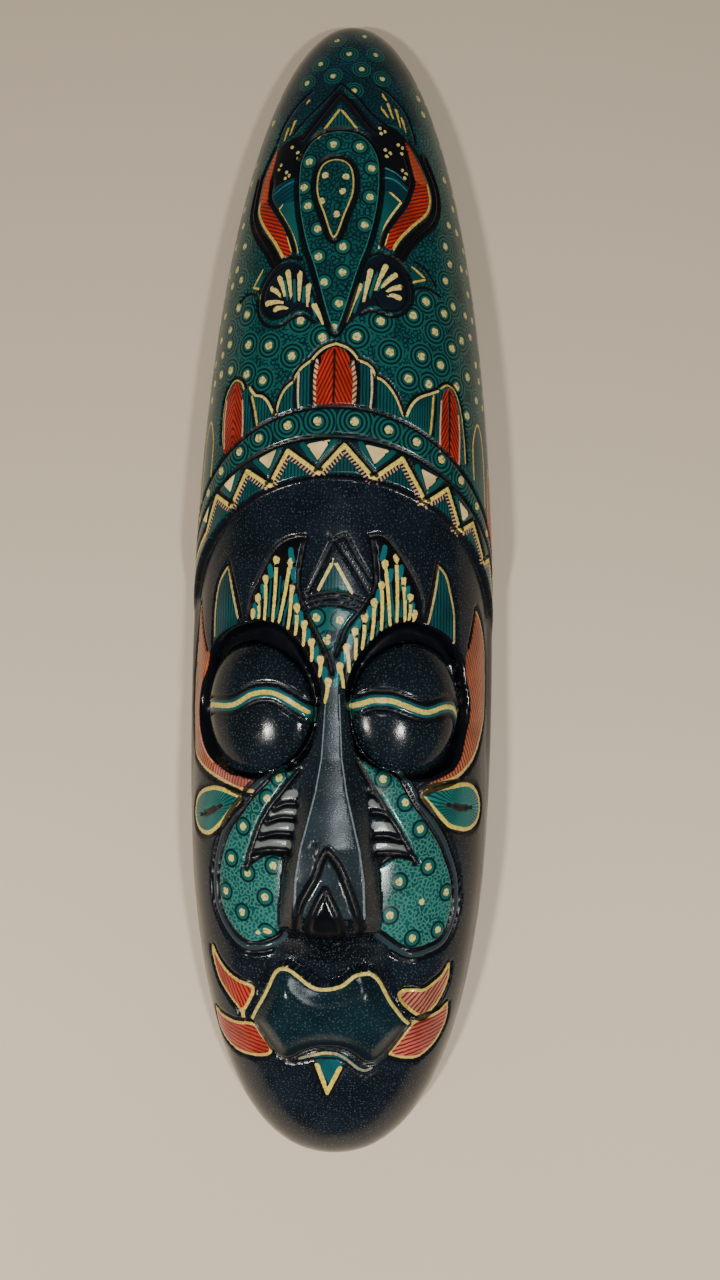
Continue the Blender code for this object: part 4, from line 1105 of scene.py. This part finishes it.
def ground_field(face_areas):
    """Ground colour with its grain, and hatch colour with its phase, on the corners."""
    ground = np.empty((loop_total, 4))
    hatching = np.empty((loop_total, 4))
    ground[:] = (*NAVY, STIPPLE)
    hatching[:] = (0, 0, 0, 0.5)
    corner_area = face_areas[corner_face]
    for k, (loop, colour, grain, hatch, ink) in enumerate(areas):
        corners = np.nonzero(corner_area == k)[0]
        if not len(corners):
            continue
        ground[corners] = (*colour, grain)
        if hatch is not None:
            phase = hatch(corner_flat[corners, 0], corner_flat[corners, 1])
            centre_phase = hatch(face_flat[corner_face[corners], 0],
                                 face_flat[corner_face[corners], 1])
            if np.abs(phase - centre_phase).max() > 20:
                phase = phase - RAYS * np.round((phase - centre_phase) / RAYS)
            hatching[corners, :3] = ink
            hatching[corners, 3] = phase
    return ground, hatching


over_ground, over_hatch = ground_field(over_area)
under_ground, under_hatch = ground_field(under_area)
store("over_ground", "FLOAT_COLOR", over_ground)
store("over_hatch", "FLOAT_COLOR", over_hatch)
store("under_ground", "FLOAT_COLOR", under_ground)
store("under_hatch", "FLOAT_COLOR", under_hatch)


def line_field(entries, default):
    """Colour and relative distance of the nearest line of each face, on its corners."""
    best = np.full(len(face_flat), 1.6)
    chosen = np.full(len(face_flat), -1)
    for k, (line, head, tail, colour) in enumerate(entries):
        some = close_to(face_flat, line, LINE_REACH)
        if len(some):
            gap, along, _ = distances(face_flat[some], line)
            gap = np.abs(gap) - (head + (tail - head) * along)
            closer = gap < best[some]
            best[some[closer]] = gap[closer]
            chosen[some[closer]] = k
    field = np.empty((loop_total, 4))
    field[:] = (*default, 9.0)
    chosen_corner = chosen[corner_face]
    for k, (line, head, tail, colour) in enumerate(entries):
        corners = np.nonzero(chosen_corner == k)[0]
        if len(corners):
            gap, along, ended = distances(corner_flat[corners], line)
            half = head + (tail - head) * along
            owner = corner_face[corners]
            blunt = np.zeros(len(face_flat), bool)
            blunt[owner[ended]] = True
            gap = np.where(blunt[owner], np.abs(gap), gap)
            field[corners, :3] = colour
            field[corners, 3] = gap / half
    return field


store("band", "FLOAT_COLOR", line_field(bands, TEAL))
store("stroke", "FLOAT_COLOR", line_field(strokes, GOLD))
INK_SPREAD = 1.18
cuts = [(line, half * INK_SPREAD, half * INK_SPREAD, BLACK) for line, half, depth in grooves]
store("groove", "FLOAT", line_field(cuts, BLACK)[:, 3])

RING_REACH = {0: 2.6, 1: 4.6, 2: 7.0, 3: 7.8}
dot_field = np.full((loop_total, 3), 9.0)
dot_field[:, 2] = 0.0
face_dot = np.full(len(face_flat), -1)
nearest_dot = np.full(len(face_flat), 9.0)
centre_area = np.full(len(dots), -1)
dot_places = np.array([(s, y) for s, y, _, _ in dots])
for k, (loop, *_) in enumerate(areas):
    centre_area[inside(dot_places, loop)] = k
for k, (s, y, radius, rings) in enumerate(dots):
    gap = np.hypot(face_flat[:, 0] - s, face_flat[:, 1] - y)
    closer = (gap < RING_REACH[rings]) & (gap < nearest_dot)
    if rings >= 2:
        closer &= top_area == centre_area[k]
    nearest_dot[closer] = gap[closer]
    face_dot[closer] = k
corner_dot = face_dot[corner_face]
has_dot = corner_dot >= 0
dot_table = np.array(dots)
offset = corner_flat[has_dot] - dot_table[corner_dot[has_dot]][:, :2]
dot_field[has_dot, :2] = offset / dot_table[corner_dot[has_dot]][:, 2:3]
dot_field[has_dot, 2] = dot_table[corner_dot[has_dot]][:, 3]
store("dot", "FLOAT_VECTOR", dot_field)

painted = bpy.data.materials.new("Painted_wood")
painted.use_nodes = True
nodes = painted.node_tree.nodes
links = painted.node_tree.links
shader = nodes["Principled BSDF"]


def node(kind, **settings):
    """Add a node with its settings."""
    made = nodes.new(kind)
    for name, value in settings.items():
        setattr(made, name, value)
    return made


def math_node(operation, a, b=None, c=None):
    """Work out a value from others."""
    made = node("ShaderNodeMath", operation=operation)
    for socket, value in zip(made.inputs, (a, b, c)):
        if value is None:
            continue
        if isinstance(value, (int, float)):
            socket.default_value = value
        else:
            links.new(value, socket)
    return made.outputs[0]


def ramp(value, low, high, start=0.0, end=1.0):
    """Map a value from low..high to start..end, smoothly and held at both ends."""
    made = node("ShaderNodeMapRange", interpolation_type="SMOOTHSTEP", clamp=True)
    links.new(value, made.inputs["Value"])
    for name, number in (("From Min", low), ("From Max", high), ("To Min", start),
                         ("To Max", end)):
        made.inputs[name].default_value = number
    return made.outputs["Result"]


def mixed(share, under, over):
    """Lay one colour over another by a share."""
    made = node("ShaderNodeMix", data_type="RGBA")
    made.clamp_factor = True
    for socket, value in ((made.inputs["Factor"], share), (made.inputs[6], under),
                          (made.inputs[7], over)):
        if isinstance(value, tuple):
            socket.default_value = (*value, 1.0)
        elif isinstance(value, (int, float)):
            socket.default_value = value
        else:
            links.new(value, socket)
    return made.outputs[2]


def attribute(name):
    """Read an attribute of the mask."""
    return node("ShaderNodeAttribute", attribute_name=name)


uv = node("ShaderNodeUVMap", uv_map="girth")
millimetres = node("ShaderNodeVectorMath", operation="SCALE")
links.new(uv.outputs[0], millimetres.inputs[0])
millimetres.inputs["Scale"].default_value = UV_SPAN
flat_mm = millimetres.outputs[0]


def noise(scale, detail=2.0, rough=0.5):
    """Noise over the girth, by its number of lumps per millimetre."""
    made = node("ShaderNodeTexNoise", noise_dimensions="2D")
    links.new(flat_mm, made.inputs["Vector"])
    made.inputs["Scale"].default_value = scale
    made.inputs["Detail"].default_value = detail
    made.inputs["Roughness"].default_value = rough
    return made


wander = noise(0.25, 2.0)
shift = node("ShaderNodeVectorMath", operation="SUBTRACT")
links.new(wander.outputs["Color"], shift.inputs[0])
shift.inputs[1].default_value = (0.5, 0.5, 0.5)
wobble = node("ShaderNodeVectorMath", operation="MULTIPLY_ADD")
links.new(shift.outputs[0], wobble.inputs[0])
wobble.inputs[1].default_value = (1.2, 1.2, 0.0)
links.new(flat_mm, wobble.inputs[2])

patches = noise(0.06, 3.0)


def hatched(ground_name, hatch_name):
    """A ground colour with its hatch lines, a little uneven, and its grain."""
    base = attribute(ground_name)
    lines = attribute(hatch_name)
    tone = node("ShaderNodeHueSaturation")
    links.new(base.outputs["Color"], tone.inputs["Color"])
    links.new(ramp(patches.outputs["Fac"], 0.3, 0.7, 0.72, 1.25), tone.inputs["Value"])
    phase = math_node("ADD", lines.outputs["Alpha"],
                      math_node("MULTIPLY_ADD", noise(0.35).outputs["Fac"], 0.36, -0.18))
    period = math_node("ABSOLUTE", math_node("SUBTRACT", math_node("FRACT", phase), 0.5))
    return (mixed(ramp(period, 0.22, 0.34, 0.0, 0.92), tone.outputs["Color"],
                  lines.outputs["Color"]), base.outputs["Alpha"])


over_colour, over_grain = hatched("over_ground", "over_hatch")
under_colour, under_grain = hatched("under_ground", "under_hatch")
edge_at = attribute("edge")
on_top = ramp(edge_at.outputs["Fac"], -0.12, 0.12)
colour = mixed(on_top, under_colour, over_colour)
covered = math_node("GREATER_THAN", edge_at.outputs["Fac"], 0.0)
grain_kind = math_node("ADD", math_node("MULTIPLY", over_grain, covered),
                       math_node("MULTIPLY", under_grain, math_node("SUBTRACT", 1.0, covered)))

# Dark curls on the crown, lighter ones on the cheek panels
cells = node("ShaderNodeTexVoronoi", feature="F1", voronoi_dimensions="2D")
links.new(wobble.outputs[0], cells.inputs["Vector"])
cells.inputs["Scale"].default_value = 0.44
cells.inputs["Randomness"].default_value = 0.8
rim_of_curl = math_node("ABSOLUTE", math_node("SUBTRACT", cells.outputs["Distance"], 0.43))
curl = ramp(rim_of_curl, 0.08, 0.16, 1.0, 0.0)
curled = math_node("MULTIPLY", math_node("LESS_THAN", grain_kind, -0.5),
                   math_node("GREATER_THAN", grain_kind, -1.5))
colour = mixed(math_node("MULTIPLY", math_node("MULTIPLY", curl, curled), 0.95), colour,
               (0.0014, 0.0085, 0.0120))
light_curled = math_node("LESS_THAN", grain_kind, -1.5)
colour = mixed(math_node("MULTIPLY", math_node("MULTIPLY", curl, light_curled), 0.65), colour,
               (0.055, 0.200, 0.165))

# Pale stipple on the dark ground
stipple = node("ShaderNodeTexVoronoi", feature="F1", voronoi_dimensions="2D")
links.new(flat_mm, stipple.inputs["Vector"])
stipple.inputs["Scale"].default_value = 0.72
stipple.inputs["Randomness"].default_value = 0.85
speck = ramp(stipple.outputs["Distance"], 0.14, 0.27, 1.0, 0.0)
faint = ramp(noise(0.45, 3.0).outputs["Fac"], 0.42, 0.62, 0.20, 1.0)
speck = math_node("MULTIPLY", math_node("MULTIPLY", speck, faint),
                  math_node("GREATER_THAN", grain_kind, 0.5))
colour = mixed(math_node("MULTIPLY", speck, 0.75), colour, (0.038, 0.066, 0.076))

# Bands, then rings and dots
band_at = attribute("band")
band_gap = math_node("ABSOLUTE", band_at.outputs["Alpha"])
colour = mixed(ramp(band_gap, 0.88, 1.06, 1.0, 0.0), colour, band_at.outputs["Color"])
dot_at = attribute("dot")
dot_split = node("ShaderNodeSeparateXYZ")
links.new(dot_at.outputs["Vector"], dot_split.inputs[0])
style = dot_split.outputs["Z"]
radius = math_node("SQRT", math_node(
    "ADD", math_node("MULTIPLY", dot_split.outputs["X"], dot_split.outputs["X"]),
    math_node("MULTIPLY", dot_split.outputs["Y"], dot_split.outputs["Y"])))
turn = math_node("MULTIPLY", math_node("ARCTAN2", dot_split.outputs["Y"],
                                       dot_split.outputs["X"]), 1 / (2 * math.pi))
spiral = math_node("MULTIPLY", turn, math_node("GREATER_THAN", style, 2.5))
many = math_node("GREATER_THAN", style, 1.5)
ring_phase = math_node("FRACT", math_node("ADD", math_node("MULTIPLY_ADD", radius, 0.98, -0.22),
                                          spiral))
ring = ramp(math_node("ABSOLUTE", math_node("SUBTRACT", ring_phase, 0.5)), 0.20, 0.30, 1.0, 0.0)
rim_ring = math_node("MULTIPLY", ramp(radius, 1.75, 1.95), ramp(radius, 2.35, 2.5, 1.0, 0.0))
ring = math_node("ADD", math_node("MULTIPLY", ring, many),
                 math_node("MULTIPLY", rim_ring, math_node("SUBTRACT", 1.0, many)))
ring_reach = math_node("MULTIPLY_ADD", many, 1.0, 2.5)
ring_reach = math_node("ADD", ring_reach, math_node("GREATER_THAN", style, 2.5))
ring_zone = math_node("MULTIPLY", math_node("LESS_THAN", radius, ring_reach),
                      math_node("GREATER_THAN", style, 0.5))
halo = mixed(ring, (0.0040, 0.0850, 0.0700), (0.0014, 0.0100, 0.0160))
colour = mixed(ring_zone, colour, halo)
blob = math_node("ADD", radius, math_node("MULTIPLY_ADD", noise(0.9).outputs["Fac"], 0.5, -0.25))
dot_colour = mixed(ramp(noise(0.9, 2.0).outputs["Fac"], 0.50, 0.62), (0.56, 0.49, 0.17),
                   (0.32, 0.20, 0.08))
colour = mixed(ramp(blob, 0.86, 1.04, 1.0, 0.0), colour, dot_colour)

# Brushed lines and the dark grooves
stroke_at = attribute("stroke")
stroke_gap = math_node("ABSOLUTE", stroke_at.outputs["Alpha"])
uneven = math_node("MULTIPLY_ADD", noise(0.6, 3.0).outputs["Fac"], 0.36, -0.18)
brushed = ramp(math_node("ADD", stroke_gap, uneven), 0.86, 1.06, 1.0, 0.0)
thin_coat = ramp(noise(0.8, 3.0).outputs["Fac"], 0.35, 0.60, 0.72, 1.12)
line_tone = node("ShaderNodeHueSaturation")
links.new(stroke_at.outputs["Color"], line_tone.inputs["Color"])
links.new(thin_coat, line_tone.inputs["Value"])
colour = mixed(brushed, colour, line_tone.outputs["Color"])
groove_at = attribute("groove")
groove_gap = math_node("ABSOLUTE", groove_at.outputs["Fac"])
inked = ramp(math_node("ADD", groove_gap, math_node("MULTIPLY", uneven, 0.6)), 0.72, 1.02,
             0.94, 0.0)
colour = mixed(inked, colour, BLACK)
links.new(colour, shader.inputs["Base Color"])

# Lacquer: glossy, rubbed unevenly, over brush marks and the wood's pores
lacquer = ramp(noise(0.09, 4.0).outputs["Fac"], 0.3, 0.7, 0.12, 0.22)
in_groove = ramp(groove_gap, 0.70, 1.05, 0.16, 0.0)
links.new(math_node("ADD", lacquer, in_groove), shader.inputs["Roughness"])
shader.inputs["IOR"].default_value = 1.30
fine_bumps = node("ShaderNodeBump")
fine_bumps.inputs["Strength"].default_value = 0.10
fine_bumps.inputs["Distance"].default_value = 0.0004
grit = noise(1.6, 3.0, 0.6)
rise_by = math_node("ADD", math_node("MULTIPLY", grit.outputs["Fac"], 0.5),
                    math_node("MULTIPLY", speck, 0.35))
links.new(rise_by, fine_bumps.inputs["Height"])
links.new(fine_bumps.outputs[0], shader.inputs["Normal"])
mask_mesh.materials.append(painted)

# Bare hollow: stained wood with long grain and gouge marks
bare = bpy.data.materials.new("Bare_wood")
bare.use_nodes = True
nodes = bare.node_tree.nodes
links = bare.node_tree.links
wood = nodes["Principled BSDF"]
place_at = node("ShaderNodeTexCoord")
stretch = node("ShaderNodeMapping")
links.new(place_at.outputs["Object"], stretch.inputs["Vector"])
stretch.inputs["Scale"].default_value = (220.0, 14.0, 220.0)
fibres = node("ShaderNodeTexNoise")
links.new(stretch.outputs[0], fibres.inputs["Vector"])
fibres.inputs["Scale"].default_value = 1.0
fibres.inputs["Detail"].default_value = 6.0
links.new(mixed(ramp(fibres.outputs["Fac"], 0.35, 0.65), (0.22, 0.13, 0.065),
                (0.11, 0.058, 0.028)), wood.inputs["Base Color"])
wood.inputs["Roughness"].default_value = 0.7
mask_mesh.materials.append(bare)

# Studio: a plain pale floor, soft lights, and the camera looking straight down on the mask,
# a little turned, from 0.42 m over the floor.
floor_mesh = bpy.data.meshes.new("floor")
plate = bmesh.new()
bmesh.ops.create_grid(plate, x_segments=1, y_segments=1, size=3.0)
plate.to_mesh(floor_mesh)
plate.free()
floor = bpy.data.objects.new("floor", floor_mesh)
bpy.context.scene.collection.objects.link(floor)
pale = bpy.data.materials.new("Pale_floor")
pale.use_nodes = True
pale.node_tree.nodes["Principled BSDF"].inputs["Base Color"].default_value = (0.53, 0.44, 0.33, 1)
pale.node_tree.nodes["Principled BSDF"].inputs["Roughness"].default_value = 0.6
floor_mesh.materials.append(pale)

world = bpy.data.worlds.new("studio")
world.use_nodes = True
world.node_tree.nodes["Background"].inputs["Color"].default_value = (1.0, 0.97, 0.93, 1)
world.node_tree.nodes["Background"].inputs["Strength"].default_value = 0.16
bpy.context.scene.world = world
for name, place, size, power, tint in (
        ("left", (-0.66, -0.48, 1.05), 0.12, 18.0, (1.0, 0.94, 0.86)),
        ("right", (0.58, -0.46, 1.10), 0.12, 14.0, (1.0, 0.97, 0.92)),
        ("ceiling", (0.02, 0.03, 1.25), 0.22, 2.6, (0.92, 0.97, 1.0)),
        ("crown", (-0.35, 1.20, 0.85), 0.60, 11.0, (1.0, 0.93, 0.82))):
    light = bpy.data.lights.new(name, "AREA")
    light.shape = "DISK"
    light.size = size
    light.energy = power
    light.color = tint
    lamp = bpy.data.objects.new(name, light)
    lamp.location = place
    aim = math.atan2(place[0], place[2]), math.atan2(-place[1], math.hypot(place[0], place[2]))
    lamp.rotation_euler = (-aim[1], aim[0], 0)
    bpy.context.scene.collection.objects.link(lamp)

lens = bpy.data.cameras.new("camera")
lens.lens = 26.16
lens.sensor_width = 36.0
lens.clip_start = 0.01
camera = bpy.data.objects.new("camera", lens)
camera.location = (0.00774, -0.02356, 0.420)
camera.rotation_euler = (0, 0, math.radians(1.06))
bpy.context.scene.collection.objects.link(camera)
bpy.context.scene.camera = camera
